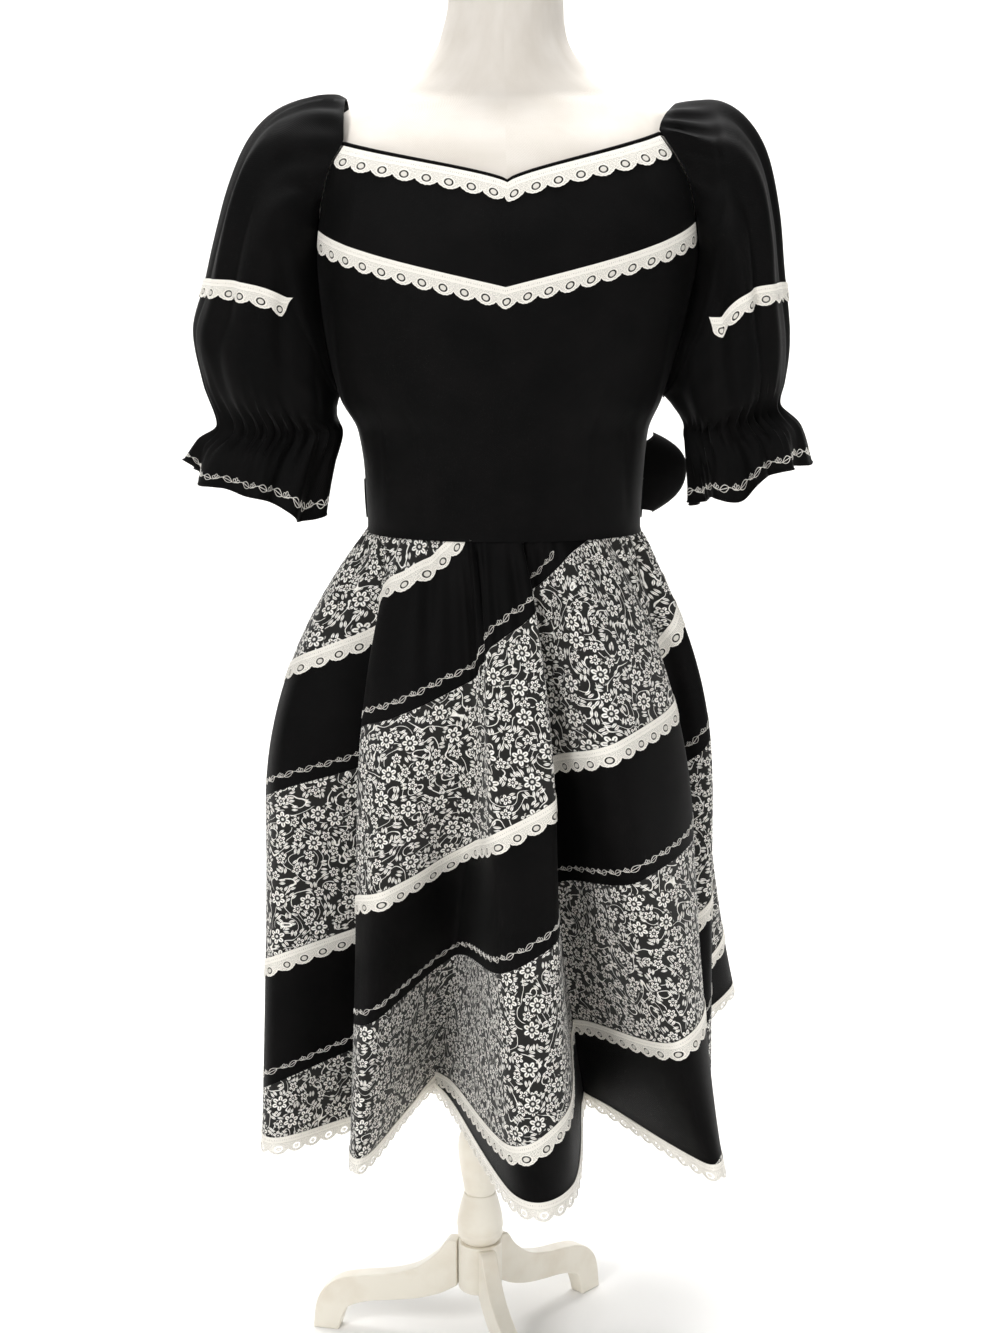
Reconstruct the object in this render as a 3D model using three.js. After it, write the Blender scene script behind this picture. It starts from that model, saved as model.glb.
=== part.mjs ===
// A black prairie dress with a spiral skirt, standing on its dress form and wooden tripod.
// Millimetres. Right is the viewer's right, out is towards a viewer in front, up is +Z.
import * as THREE from "three";

// Driving sizes
const seamGap = 0.3;
const bandGap = 1.1;
const wall = 1.5;
const laceWall = 1.0;
const laceWidth = 20;
const laceLift = wall / 2 + 0.8 + laceWall / 2;

const skirt = {
  waistUp: 873,
  length: 625,
  hemLace: { above: 8, below: 11 },
  acrossColumns: 2,
  faceColumns: 3,
  gatherDepth: 2.2,
  gatherFade: 75,
  midAt: 0.45,
  swellPower: 2.1,
  evenWaist: 0.5,
  evenShift: 8,
  foldFrom: 0.2,
  foldPower: 1.5,
};
const waistRing = { centre: 4, half: 133, front: 97, back: 93 };
const spiral = { starts: 3, print: 169, black: 136 };
const spiralPitch = spiral.starts * (spiral.print + spiral.black);

// Each row is one fold of the skirt and the valley after it, turning from the viewer's left
// over the front. at is its turn from the front in degrees, reach how far out it stands, face
// the way its edge looks, half its half width, lift how much its hem is raised; mid is the same
// half way down. cloth is the share of the cloth used up to each side of it, from the place
// where the second printed band leaves the waist.
const folds = [
  { at: -84, face: -84, reach: 236, half: 28, lift: 0, cloth: [-0.305, -0.276],
    midAt: -85, midReach: 226, midHalf: 38,
    valley: { at: -100, face: -70, reach: 122, half: 10, lift: 0, cloth: [-0.245, -0.222],
      midAt: -59, midReach: 148, midHalf: 9 } },
  { at: -61, face: -61, reach: 168, half: 16, lift: 0, cloth: [-0.195, -0.178],
    midAt: -44, midReach: 178, midHalf: 24,
    valley: { at: -130, face: -15, reach: 98, half: 12, lift: 6, cloth: [-0.15, -0.132],
      midAt: -12, midReach: 150, midHalf: 14 } },
  { at: 12, face: 18, reach: 178, half: 29, lift: 0, cloth: [-0.104, -0.074],
    midAt: 5.5, midReach: 166, midHalf: 25,
    valley: { at: 111, face: 25, reach: 98, half: 9, lift: 6, cloth: [-0.054, -0.04],
      midAt: 19, midReach: 124, midHalf: 8 } },
  { at: 66, face: 66, reach: 226, half: 20, lift: 0, cloth: [-0.014, 0.012],
    midAt: 50, midReach: 186, midHalf: 54,
    valley: { at: 86, face: 80, reach: 158, half: 8, lift: 0, cloth: [0.045, 0.065],
      midAt: 77, midReach: 168, midHalf: 10 } },
  { at: 99, face: 99, reach: 214, half: 20, lift: 10, cloth: [0.1, 0.15],
    midAt: 94, midReach: 205, midHalf: 32,
    valley: { at: 108, face: 108, reach: 140, half: 12, lift: 30, cloth: [0.195, 0.22],
      midAt: 112, midReach: 172, midHalf: 14 } },
  { at: 129, face: 129, reach: 302, half: 30, lift: 85, cloth: [0.27, 0.325],
    midAt: 129, midReach: 232, midHalf: 40,
    valley: { at: 148, face: 148, reach: 140, half: 16, lift: 65, cloth: [0.365, 0.39],
      midAt: 148, midReach: 174, midHalf: 18 } },
  { at: 171, face: 171, reach: 286, half: 34, lift: 62, cloth: [0.435, 0.49],
    midAt: 171, midReach: 220, midHalf: 40,
    valley: { at: 194, face: 194, reach: 132, half: 16, lift: 50, cloth: [0.525, 0.55],
      midAt: 194, midReach: 168, midHalf: 18 } },
  { at: 222, face: 222, reach: 272, half: 34, lift: 30, cloth: [0.59, 0.635],
    midAt: 221, midReach: 222, midHalf: 40,
    valley: { at: 249, face: 249, reach: 134, half: 16, lift: 15, cloth: [0.657, 0.675],
      midAt: 247, midReach: 172, midHalf: 18 } },
];

// Level sections of the bodice: half width, middle, depth in front and behind, and how square.
const bodiceSections = [
  { up: 873, half: 133, centre: 4, front: 97, back: 93, square: 2.1 },
  { up: 930, half: 136, centre: 4, front: 102, back: 98, square: 2.1 },
  { up: 970, half: 141, centre: 3, front: 108, back: 101, square: 2.1 },
  { up: 1002, half: 156, centre: 1, front: 114, back: 104, square: 2.2 },
  { up: 1085, half: 176, centre: 4, front: 122, back: 108, square: 2.3 },
  { up: 1145, half: 184, centre: 7, front: 117, back: 110, square: 2.4 },
  { up: 1190, half: 182, centre: 7, front: 105, back: 106, square: 2.4 },
  { up: 1240, half: 175, centre: 5, front: 85, back: 92, square: 2.4 },
  { up: 1262, half: 166, centre: 5, front: 67, back: 78, square: 2.3 },
];
// Turn of the armhole's edge from the front, in degrees, at each height.
const armholeEdge = [
  { up: 1002, turn: 89.9 },
  { up: 1050, turn: 84 },
  { up: 1100, turn: 79 },
  { up: 1150, turn: 75.5 },
  { up: 1190, turn: 70 },
  { up: 1217, turn: 64 },
  { up: 1240, turn: 55.5 },
  { up: 1255, turn: 51 },
];
const bodice = { underarmUp: 1002, columns: 24, neckEdge: 3, laceDrop: 22 };
const neckline = { pointUp: 1204, leftUp: 1240, rightUp: 1249, backUp: 1232, power: 0.6 };
const yokeLine = { pointUp: 1108, leftUp: 1161, rightUp: 1169, power: 0.85 };

const formSections = [
  { up: 700, half: 142, centre: 2, front: 92, back: 104, square: 2.2 },
  { up: 708, half: 145, centre: 2, front: 95, back: 107, square: 2.2 },
  { up: 750, half: 145, centre: 3, front: 96, back: 108, square: 2.2 },
  { up: 805, half: 137, centre: 3, front: 95, back: 99, square: 2.2 },
  { up: 873, half: 127, centre: 4, front: 91, back: 86, square: 2.1 },
  { up: 930, half: 130, centre: 4, front: 96, back: 92, square: 2.1 },
  { up: 1002, half: 146, centre: 3, front: 109, back: 99, square: 2.2 },
  { up: 1085, half: 171, centre: 4, front: 118, back: 104, square: 2.3 },
  { up: 1145, half: 181, centre: 7, front: 115.2, back: 107, square: 2.4 },
  { up: 1190, half: 179, centre: 7, front: 102.5, back: 102.5, square: 2.4 },
  { up: 1240, half: 171, centre: 5, front: 82, back: 87.5, square: 2.4 },
  { up: 1262, half: 163, centre: 5, front: 64, back: 75, square: 2.3 },
  { up: 1276, half: 146, centre: 7, front: 53, back: 64, square: 2.2 },
  { up: 1287, half: 117, centre: 5.5, front: 46, back: 58, square: 2.1 },
  { up: 1307, half: 82, centre: 4, front: 47, back: 55, square: 2 },
  { up: 1339, half: 60, centre: 3.5, front: 50, back: 52, square: 2 },
  { up: 1374, half: 54.5, centre: 5.5, front: 52, back: 50, square: 2 },
  { up: 1400, half: 54.5, centre: 5.5, front: 52, back: 50, square: 2 },
];
const form = { columns: 32 };

// Rings of each sleeve after the armhole: the ring's outer and inner ends in the front view,
// its half depth, how far its middle bows away from the body, and the wave of its gathers.
const sleeves = {
  left: {
    shoulder: { right: -146, up: 1283 },
    cornerUp: neckline.leftUp,
    lace: { outerUp: 1115, seamUp: 1098, width: 19 },
    rings: [
      { outRight: -175, outUp: 1283, inRight: -157, inUp: 1003, depth: 58, bow: 26, wave: 0 },
      { outRight: -210, outUp: 1271, inRight: -158, inUp: 1000, depth: 65, bow: 22, wave: 0 },
      { outRight: -236, outUp: 1246, inRight: -159, inUp: 996, depth: 69, bow: 16, wave: 0 },
      { outRight: -256, outUp: 1205, inRight: -160, inUp: 992, depth: 71, bow: 10, wave: 0 },
      { outRight: -272, outUp: 1154, inRight: -160, inUp: 988, depth: 72, bow: 5, wave: 0 },
      { outRight: -284, outUp: 1110, inRight: -160, inUp: 984, depth: 72, bow: 0, wave: 0.5 },
      { outRight: -297, outUp: 1066, inRight: -159, inUp: 980, depth: 70, bow: 0, wave: 1 },
      { outRight: -288, outUp: 1017, inRight: -158, inUp: 975, depth: 64, bow: 0, wave: 2 },
      { outRight: -274, outUp: 975, inRight: -157, inUp: 965, depth: 46, bow: 0, wave: 2.4 },
      { outRight: -293, outUp: 955, inRight: -165, inUp: 933, depth: 55, bow: 0, wave: 3 },
      { outRight: -302, outUp: 932, inRight: -177, inUp: 886, depth: 62, bow: 0, wave: 4 },
    ],
  },
  right: {
    shoulder: { right: 161, up: 1273 },
    cornerUp: neckline.rightUp,
    lace: { outerUp: 1112, seamUp: 1070, width: 19 },
    rings: [
      { outRight: 185, outUp: 1277, inRight: 160, inUp: 1004, depth: 58, bow: 28, wave: 0 },
      { outRight: 208, outUp: 1277, inRight: 163, inUp: 1001, depth: 65, bow: 22, wave: 0 },
      { outRight: 231, outUp: 1262, inRight: 166, inUp: 998, depth: 69, bow: 14, wave: 0 },
      { outRight: 250, outUp: 1232, inRight: 169, inUp: 994, depth: 71, bow: 8, wave: 0 },
      { outRight: 263, outUp: 1180, inRight: 172, inUp: 990, depth: 72, bow: 3, wave: 0 },
      { outRight: 270, outUp: 1125, inRight: 175, inUp: 986, depth: 72, bow: 0, wave: 0.5 },
      { outRight: 278, outUp: 1065, inRight: 178, inUp: 981, depth: 70, bow: 0, wave: 1 },
      { outRight: 277, outUp: 1022, inRight: 181, inUp: 974, depth: 64, bow: 0, wave: 2 },
      { outRight: 271, outUp: 994, inRight: 183, inUp: 963, depth: 46, bow: 0, wave: 2.4 },
      { outRight: 291, outUp: 974, inRight: 187, inUp: 931, depth: 55, bow: 0, wave: 3 },
      { outRight: 298, outUp: 943, inRight: 191, inUp: 899, depth: 62, bow: 0, wave: 4 },
    ],
  },
};
const sleeveColumns = 24;
const cornerTurn = 45;

const sash = { lowUp: 884, highUp: 922 };
const bow = {
  knot: { right: 4, up: 903, half: 17, halfHigh: 20, halfDeep: 11 },
  loops: {
    left: { reach: 118, innerHigh: 26, outerHigh: 70, deep: 15, rise: -12 },
    right: { reach: 189, innerHigh: 26, outerHigh: 82, deep: 17, rise: 14 },
  },
  tail: { columns: 3, length: 330, lift: 6 },
};

const poleRight = -21;
const poleProfile = [
  { up: 699.7, radius: 13 },
  { up: 268, radius: 13 },
  { up: 256, radius: 14.5 },
  { up: 246, radius: 17.5 },
  { up: 236, radius: 21.5 },
  { up: 224, radius: 23.2 },
  { up: 198, radius: 20.4 },
  { up: 182, radius: 17.6 },
  { up: 173.3, radius: 16.4 },
];
const urnProfile = [
  { up: 173, radius: 16.8 },
  { up: 160, radius: 20.6 },
  { up: 146, radius: 23.6 },
  { up: 137, radius: 24.4 },
  { up: 131, radius: 23.4 },
  { up: 129.5, radius: 24 },
  { up: 124, radius: 22.6 },
  { up: 118.3, radius: 18.5 },
];
const hub = { topUp: 118, bottomUp: 66, radius: 23 };
const leg = { board: 17.4, turns: { front: 16, left: -103.5, right: 136.5 } };
// The leg's outline, as distance from the pole's axis and height, top edge first.
const legTop = [
  [34, 117], [46, 101], [66, 84], [84, 76], [102, 71], [130, 66], [153, 60], [170, 48], [180, 30],
];
const legFoot = { toe: 184, heel: 156 };
const legUnder = [
  [150, 19], [143, 29], [122, 37], [93, 42], [66, 47.5], [42, 56],
];

const finishes = {
  blackCloth: { color: 0x121214, roughness: 0.95, metalness: 0 },
  printCloth: { color: 0x5b5a58, roughness: 0.95, metalness: 0 },
  lace: { color: 0xf1eee6, roughness: 0.8, metalness: 0 },
  linen: { color: 0xe3dcd0, roughness: 0.9, metalness: 0 },
  paintedWood: { color: 0xf0ebdd, roughness: 0.45, metalness: 0 },
};

const dress = new THREE.Group();
const { degToRad, clamp, lerp } = THREE.MathUtils;

function place(right, out, up) {
  return new THREE.Vector3(right, -out, up);
}

// A smooth curve through the rows of a table that never overshoots them.
function tableCurve(rows, key, column) {
  const steps = rows.slice(1).map((row, k) => (row[column] - rows[k][column]) / (row[key] - rows[k][key]));
  const slopes = rows.map((row, k) => {
    const before = steps[k - 1] ?? steps[k];
    const after = steps[k] ?? steps[k - 1];
    return before * after <= 0 ? 0 : (2 * before * after) / (before + after);
  });
  return (x) => {
    let k = 0;
    while (k < rows.length - 2 && x > rows[k + 1][key]) k += 1;
    const span = rows[k + 1][key] - rows[k][key];
    const t = clamp((x - rows[k][key]) / span, 0, 1);
    const rise = t * t * (3 - 2 * t);
    const bend = t * (1 - t) * (1 - t) * span * slopes[k] - t * t * (1 - t) * span * slopes[k + 1];
    return lerp(rows[k][column], rows[k + 1][column], rise) + bend;
  };
}

// One closed body from an outer and an inner sheet of points, rows by columns.
function closedSheet(outer, inner, ring) {
  const positions = [];
  const known = new Map();
  const faces = [];
  const key = (p) => [p.x, p.y, p.z].map((v) => Math.round(v * 500)).join(",");
  const indexOf = (p) => {
    const name = key(p);
    if (!known.has(name)) {
      known.set(name, positions.length / 3);
      positions.push(p.x, p.y, p.z);
    }
    return known.get(name);
  };
  const face = (a, b, c) => {
    const [i, j, k] = [a, b, c].map(indexOf);
    if (i !== j && j !== k && k !== i) faces.push(i, j, k);
  };
  const quad = (a, b, c, d) => {
    face(a, b, c);
    face(a, c, d);
  };
  const rows = outer.length;
  const columns = outer[0].length;
  const spans = ring ? columns : columns - 1;
  for (let j = 0; j < spans; j += 1) {
    const n = (j + 1) % columns;
    for (let i = 0; i < rows - 1; i += 1) {
      quad(outer[i][j], outer[i + 1][j], outer[i + 1][n], outer[i][n]);
      quad(inner[i][j], inner[i][n], inner[i + 1][n], inner[i + 1][j]);
    }
    quad(outer[0][n], inner[0][n], inner[0][j], outer[0][j]);
    quad(outer[rows - 1][j], inner[rows - 1][j], inner[rows - 1][n], outer[rows - 1][n]);
  }
  if (!ring) {
    const last = columns - 1;
    for (let i = 0; i < rows - 1; i += 1) {
      quad(outer[i][0], inner[i][0], inner[i + 1][0], outer[i + 1][0]);
      quad(outer[i + 1][last], inner[i + 1][last], inner[i][last], outer[i][last]);
    }
  }
  return facedOut(positions, faces);
}

// The geometry of a closed body, turned inside out where its faces point in.
function facedOut(positions, faces) {
  const corner = (i) => new THREE.Vector3().fromArray(positions, 3 * i);
  let volume = 0;
  for (let f = 0; f < faces.length; f += 3) {
    volume += corner(faces[f]).dot(corner(faces[f + 1]).cross(corner(faces[f + 2])));
  }
  const index = volume > 0 ? faces : faces.slice().reverse();
  const geometry = new THREE.BufferGeometry();
  geometry.setAttribute("position", new THREE.Float32BufferAttribute(positions, 3));
  geometry.setIndex(index);
  geometry.computeVertexNormals();
  return geometry;
}

// A wall around a sheet of { point, normal }, from its inner to its outer distance.
function wallGeometry(sheet, innerAt, outerAt, ring) {
  const move = (distance) => sheet.map((row) => row.map((s) => s.point.clone().addScaledVector(s.normal, distance)));
  return closedSheet(move(outerAt), move(innerAt), ring);
}

function addPiece(name, geometry, finish) {
  const piece = new THREE.Mesh(geometry, new THREE.MeshStandardMaterial(finishes[finish]));
  piece.name = name;
  dress.add(piece);
  return piece;
}

// Skirt: folds as pairs of control points, the same number at the hem and half way down
function polar(turn, reach) {
  const a = degToRad(turn);
  return new THREE.Vector2(waistRing.centre + reach * Math.sin(a), reach * Math.cos(a));
}

function foldSides(turn, reach, face, half) {
  const a = degToRad(face);
  const across = new THREE.Vector2(Math.cos(a), -Math.sin(a)).multiplyScalar(half);
  const middle = polar(turn, reach);
  return [middle.clone().sub(across), middle.add(across)];
}

const controls = folds.flatMap((fold) =>
  [fold, fold.valley].flatMap((part) => {
    const hem = foldSides(part.at, part.reach, part.face, part.half);
    const mid = foldSides(part.midAt, part.midReach, part.midAt, part.midHalf);
    return hem.map((point, k) => ({ hem: point, mid: mid[k], lift: part.lift, cloth: part.cloth[k] }));
  }),
);
const centreTurn = (point) => THREE.MathUtils.radToDeg(Math.atan2(point.x - waistRing.centre, point.y));
controls.forEach((control, k) => {
  let turn = centreTurn(control.mid);
  while (k > 0 && turn < controls[k - 1].turn) turn += 360;
  control.turn = turn;
});

function ringSpline(read, place01) {
  const n = controls.length;
  const k = Math.floor(place01);
  const t = place01 - k;
  const at = (step) => {
    const index = k + step;
    return read(controls[((index % n) + n) % n], Math.floor(index / n));
  };
  const [a, b, c, d] = [at(-1), at(0), at(1), at(2)];
  const cubic = 3 * (b - c) + d - a;
  return b + 0.5 * t * (c - a + t * (2 * a - 5 * b + 4 * c - d + t * cubic));
}

const hemPlan = (w) => new THREE.Vector2(ringSpline((c) => c.hem.x, w), ringSpline((c) => c.hem.y, w));
const midPlan = (w) => new THREE.Vector2(ringSpline((c) => c.mid.x, w), ringSpline((c) => c.mid.y, w));
const clothAt = (w) => ringSpline((c, laps) => c.cloth + laps, w);

// The place on the waist that a column hangs from, between its fold's and an even spread.
function waistTurn(w) {
  const above = ringSpline((c, laps) => c.turn + 360 * laps, w);
  const even = controls[0].turn + skirt.evenShift + 360 * (clothAt(w) - controls[0].cloth);
  return lerp(above, even, skirt.evenWaist);
}

function waistPlan(turn) {
  const a = degToRad(turn);
  const depth = Math.cos(a) > 0 ? waistRing.front : waistRing.back;
  return new THREE.Vector2(waistRing.centre + waistRing.half * Math.sin(a), depth * Math.cos(a));
}

// The column where a rising function of it reaches a value.
function columnWhere(read, value) {
  let low = -2 * controls.length;
  let high = 2 * controls.length;
  for (let i = 0; i < 50; i += 1) {
    const half = (low + high) / 2;
    if (read(half) < value) low = half;
    else high = half;
  }
  return low;
}

function skirtPoint(w, down, gather) {
  const reach = down / skirt.length;
  const turn = waistTurn(w);
  const top = waistPlan(turn);
  const swell = 1 - Math.pow(Math.max(1 - reach / skirt.midAt, 0), skirt.swellPower);
  const fold = Math.pow(Math.max((reach - skirt.foldFrom) / (1 - skirt.foldFrom), 0), skirt.foldPower);
  const mid = midPlan(w);
  const plan = top.clone().lerp(mid, swell).addScaledVector(hemPlan(w).sub(mid), fold);
  const fade = Math.max(1 - down / skirt.gatherFade, 0);
  const out = new THREE.Vector2(Math.sin(degToRad(turn)), Math.cos(degToRad(turn)));
  plan.addScaledVector(out, gather * skirt.gatherDepth * fade);
  const lift = ringSpline((c) => c.lift, w) * reach * reach;
  return place(plan.x, plan.y, skirt.waistUp - down + lift);
}

function skirtSpot(column, down) {
  const step = 0.04;
  const point = skirtPoint(column.w, down, column.gather);
  const along = skirtPoint(column.w + step, down, 0).sub(skirtPoint(column.w - step, down, 0));
  const fall = skirtPoint(column.w, down + 3, 0).sub(skirtPoint(column.w, down - 3, 0));
  return { point, normal: fall.cross(along).normalize() };
}

// The spiral bands: each edge is a helix, and a column stands where an edge meets waist or hem.
const bands = [];
for (let k = 0; k < spiral.starts; k += 1) {
  const printStart = (k - 1) / spiral.starts;
  bands.push({ kind: "print", name: `skirt_print_${k + 1}`, start: printStart, height: spiral.print });
  const blackStart = printStart + spiral.print / spiralPitch;
  bands.push({ kind: "black", name: `skirt_black_${k + 1}`, start: blackStart, height: spiral.black });
}
const places = controls.flatMap((_, k) => {
  const count = k % 2 ? skirt.faceColumns : skirt.acrossColumns;
  return Array.from({ length: count }, (_unused, j) => k + j / count);
});
const snapped = new Set();
for (const band of bands) {
  for (const end of [band.start, band.start - skirt.length / spiralPitch]) {
    const laps = Math.floor(end - controls[0].cloth);
    const w = columnWhere(clothAt, end - laps);
    const nearest = places
      .map((place, j) => ({ j, away: Math.abs(place - w) }))
      .filter(({ j }) => !snapped.has(j))
      .sort((a, b) => a.away - b.away)[0].j;
    places[nearest] = w;
    snapped.add(nearest);
  }
}
places.sort((a, b) => a - b);
const columns = [];
for (let lap = -2; lap <= 2; lap += 1) {
  places.forEach((place, j) => {
    const w = place + lap * controls.length;
    columns.push({ w, cloth: clothAt(w), gather: j % 2 ? 1 : -1 });
  });
}

const edgeDown = (start, cloth) => spiralPitch * (start - cloth);

// Rows of a band down one column, between the waist and the hem.
function bandRows(band, cloth) {
  const top = edgeDown(band.start, cloth) + bandGap / 2;
  const bottom = top + band.height - bandGap;
  const inner = band.kind === "black" ? [laceWidth, 0.5 * (laceWidth + band.height)] : [0.25, 0.5, 0.75];
  const scale = band.kind === "black" ? 1 : band.height;
  return [top, ...inner.map((row) => top + row * scale), bottom];
}

// A strip of the skirt between moving rows, closed to a point at each end.
function skirtStrip(rowsAt, low, high, lastRow) {
  const fit = (rows) => {
    const top = clamp(rows[0], low, high);
    const bottom = clamp(rows[rows.length - 1], low, high);
    const floor = Math.max(top, lastRow);
    const between = rows.slice(1, -1).map((row) => clamp(row, top, Math.min(floor, bottom)));
    return [top, ...between, Math.min(floor, bottom), bottom];
  };
  const cells = columns.map((column) => {
    const rows = rowsAt(column.cloth);
    return { column, rows, top: rows[0], bottom: rows[rows.length - 1] };
  });
  const inside = cells.filter((cell) => cell.bottom > low + 1e-6 && cell.top < high - 1e-6);
  const first = cells.indexOf(inside[0]);
  const last = cells.indexOf(inside[inside.length - 1]);
  const tip = (from, to) => {
    const atWaist = to.bottom <= low + 1e-6;
    const level = atWaist ? low : high;
    const [a, b] = atWaist ? [from.bottom, to.bottom] : [from.top, to.top];
    const t = (level - a) / (b - a);
    const ends = [from, to].map((cell) => skirtSpot(cell.column, level));
    const point = ends[0].point.lerp(ends[1].point, t);
    const normal = ends[0].normal.lerp(ends[1].normal, t);
    return fit(inside[0].rows).map(() => ({ point, normal }));
  };
  const lines = inside.map((cell) => fit(cell.rows).map((row) => skirtSpot(cell.column, row)));
  lines.unshift(tip(cells[first], cells[first - 1]));
  lines.push(tip(cells[last], cells[last + 1]));
  return lines[0].map((_, i) => lines.map((line) => line[i]));
}

const skirtTop = seamGap;
const hemLaceTop = skirt.length - skirt.hemLace.above;
for (const band of bands) {
  const sheet = skirtStrip((cloth) => bandRows(band, cloth), skirtTop, skirt.length, hemLaceTop);
  addPiece(band.name, wallGeometry(sheet, -wall / 2, wall / 2, false), `${band.kind}Cloth`);
}
// Lace sewn over the head of each black band, and round the hem
for (let k = 0; k < spiral.starts; k += 1) {
  const start = bands[2 * k + 1].start;
  const rowsAt = (cloth) => {
    const top = edgeDown(start, cloth) + bandGap / 2;
    return [top, top + laceWidth];
  };
  const sheet = skirtStrip(rowsAt, skirtTop + 0.6, hemLaceTop - 2 * seamGap, skirt.length);
  addPiece(`skirt_lace_${k + 1}`, wallGeometry(sheet, laceLift - laceWall / 2, laceLift + laceWall / 2, false), "lace");
}
const ringColumns = columns.slice(2 * places.length, 3 * places.length);
const hemRows = [hemLaceTop, skirt.length, skirt.length + skirt.hemLace.below];
const hemSheet = hemRows.map((down) => ringColumns.map((column) => skirtSpot(column, down)));
addPiece("hem_lace", wallGeometry(hemSheet, laceLift - laceWall / 2, laceLift + laceWall / 2, true), "lace");

// Bodice and form: level sections of one family
function sectionReader(rows) {
  const names = ["half", "centre", "front", "back", "square"];
  const curves = names.map((name) => tableCurve(rows, "up", name));
  return (up) => Object.fromEntries(names.map((name, k) => [name, curves[k](up)]));
}
const bodiceAt = sectionReader(bodiceSections);
const formAt = sectionReader(formSections);
const armholeTurn = tableCurve(armholeEdge, "up", "turn");

function sectionPoint(read, turn, up) {
  const section = read(up);
  const a = degToRad(turn);
  const round = (value) => Math.sign(value) * Math.pow(Math.abs(value), 2 / section.square);
  const depth = Math.cos(a) > 0 ? section.front : section.back;
  return place(section.centre + section.half * round(Math.sin(a)), depth * round(Math.cos(a)), up);
}

function bodiceSpot(turn, up) {
  const along = sectionPoint(bodiceAt, turn + 0.6, up).sub(sectionPoint(bodiceAt, turn - 0.6, up));
  const rise = sectionPoint(bodiceAt, turn, up + 2).sub(sectionPoint(bodiceAt, turn, up - 2));
  return { point: sectionPoint(bodiceAt, turn, up), normal: along.cross(rise).normalize() };
}

const edgeTurn = (up) => (up < bodice.underarmUp ? 89.9 : armholeTurn(up));
const neckUp = (u) => {
  const corner = u < 0 ? neckline.leftUp : neckline.rightUp;
  return lerp(neckline.pointUp, corner, Math.pow(Math.abs(u), neckline.power));
};
const yokeUp = (u) => {
  const end = u < 0 ? yokeLine.leftUp : yokeLine.rightUp;
  return lerp(yokeLine.pointUp, end, Math.pow(Math.abs(u), yokeLine.power));
};
const waistTop = skirt.waistUp + 2 * seamGap;
const lowerRows = [0, 0.3, 0.65, 1].map((t) => lerp(waistTop, bodice.underarmUp, t));

function frontRows(u) {
  const yokeLow = yokeUp(u) - laceWidth;
  const neckLow = neckUp(u) - bodice.laceDrop;
  return [
    ...lowerRows,
    lerp(bodice.underarmUp, yokeLow, 0.5),
    yokeLow,
    yokeUp(u),
    lerp(yokeUp(u), neckLow, 0.5),
    neckLow,
    neckUp(u) - bodice.neckEdge,
    neckUp(u),
  ];
}
const yokeRow = lowerRows.length + 1;
const neckRow = lowerRows.length + 4;
const frontColumns = Array.from({ length: bodice.columns + 1 }, (_, j) => (2 * j) / bodice.columns - 1);
const frontLines = frontColumns.map((u) => frontRows(u).map((up) => bodiceSpot(u * edgeTurn(up), up)));
const frontSheet = frontLines[0].map((_, i) => frontLines.map((line) => line[i]));
addPiece("bodice_front", wallGeometry(frontSheet, -wall / 2, wall / 2, false), "blackCloth");

const laceWalls = [laceLift - laceWall / 2, laceLift + laceWall / 2];
const meet = (a, b, t) => ({ point: a.point.clone().lerp(b.point, t), normal: a.normal.clone().lerp(b.normal, t) });
// The rows of a lace on the front, stopped short of the armholes by a share of the last column
function frontLace(row) {
  return frontSheet.slice(row, row + 2).map((line) => {
    const last = line.length - 1;
    const ends = [meet(line[0], line[1], 0.3), meet(line[last], line[last - 1], 0.3)];
    return [ends[0], ...line.slice(1, last), ends[1]];
  });
}
addPiece("yoke_lace", wallGeometry(frontLace(yokeRow), ...laceWalls, false), "lace");
addPiece("neckline_lace", wallGeometry(frontLace(neckRow), ...laceWalls, false), "lace");

// Back panels meet at a seam down the middle, over a hidden zip
const backNeck = (side, u) => {
  const corner = side < 0 ? neckline.leftUp : neckline.rightUp;
  return lerp(neckline.backUp, corner, u * u);
};
const backRows = (top) => [
  ...lowerRows,
  ...[0.2, 0.4, 0.6, 0.78, 0.9, 1].map((t) => lerp(bodice.underarmUp, top, t)),
];
for (const [name, side] of [["left", -1], ["right", 1]]) {
  const middle = 0.1;
  const count = bodice.columns / 2;
  const lines = Array.from({ length: count + 1 }, (_, j) => {
    const u = 1 - j / count;
    return backRows(backNeck(side, u)).map((up) => {
      const turn = 180 - middle - u * (edgeTurn(up) - middle);
      return bodiceSpot(side * turn, up);
    });
  });
  const sheet = lines[0].map((_, i) => lines.map((line) => line[i]));
  addPiece(`bodice_back_${name}`, wallGeometry(sheet, -wall / 2, wall / 2, false), "blackCloth");
}

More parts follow.
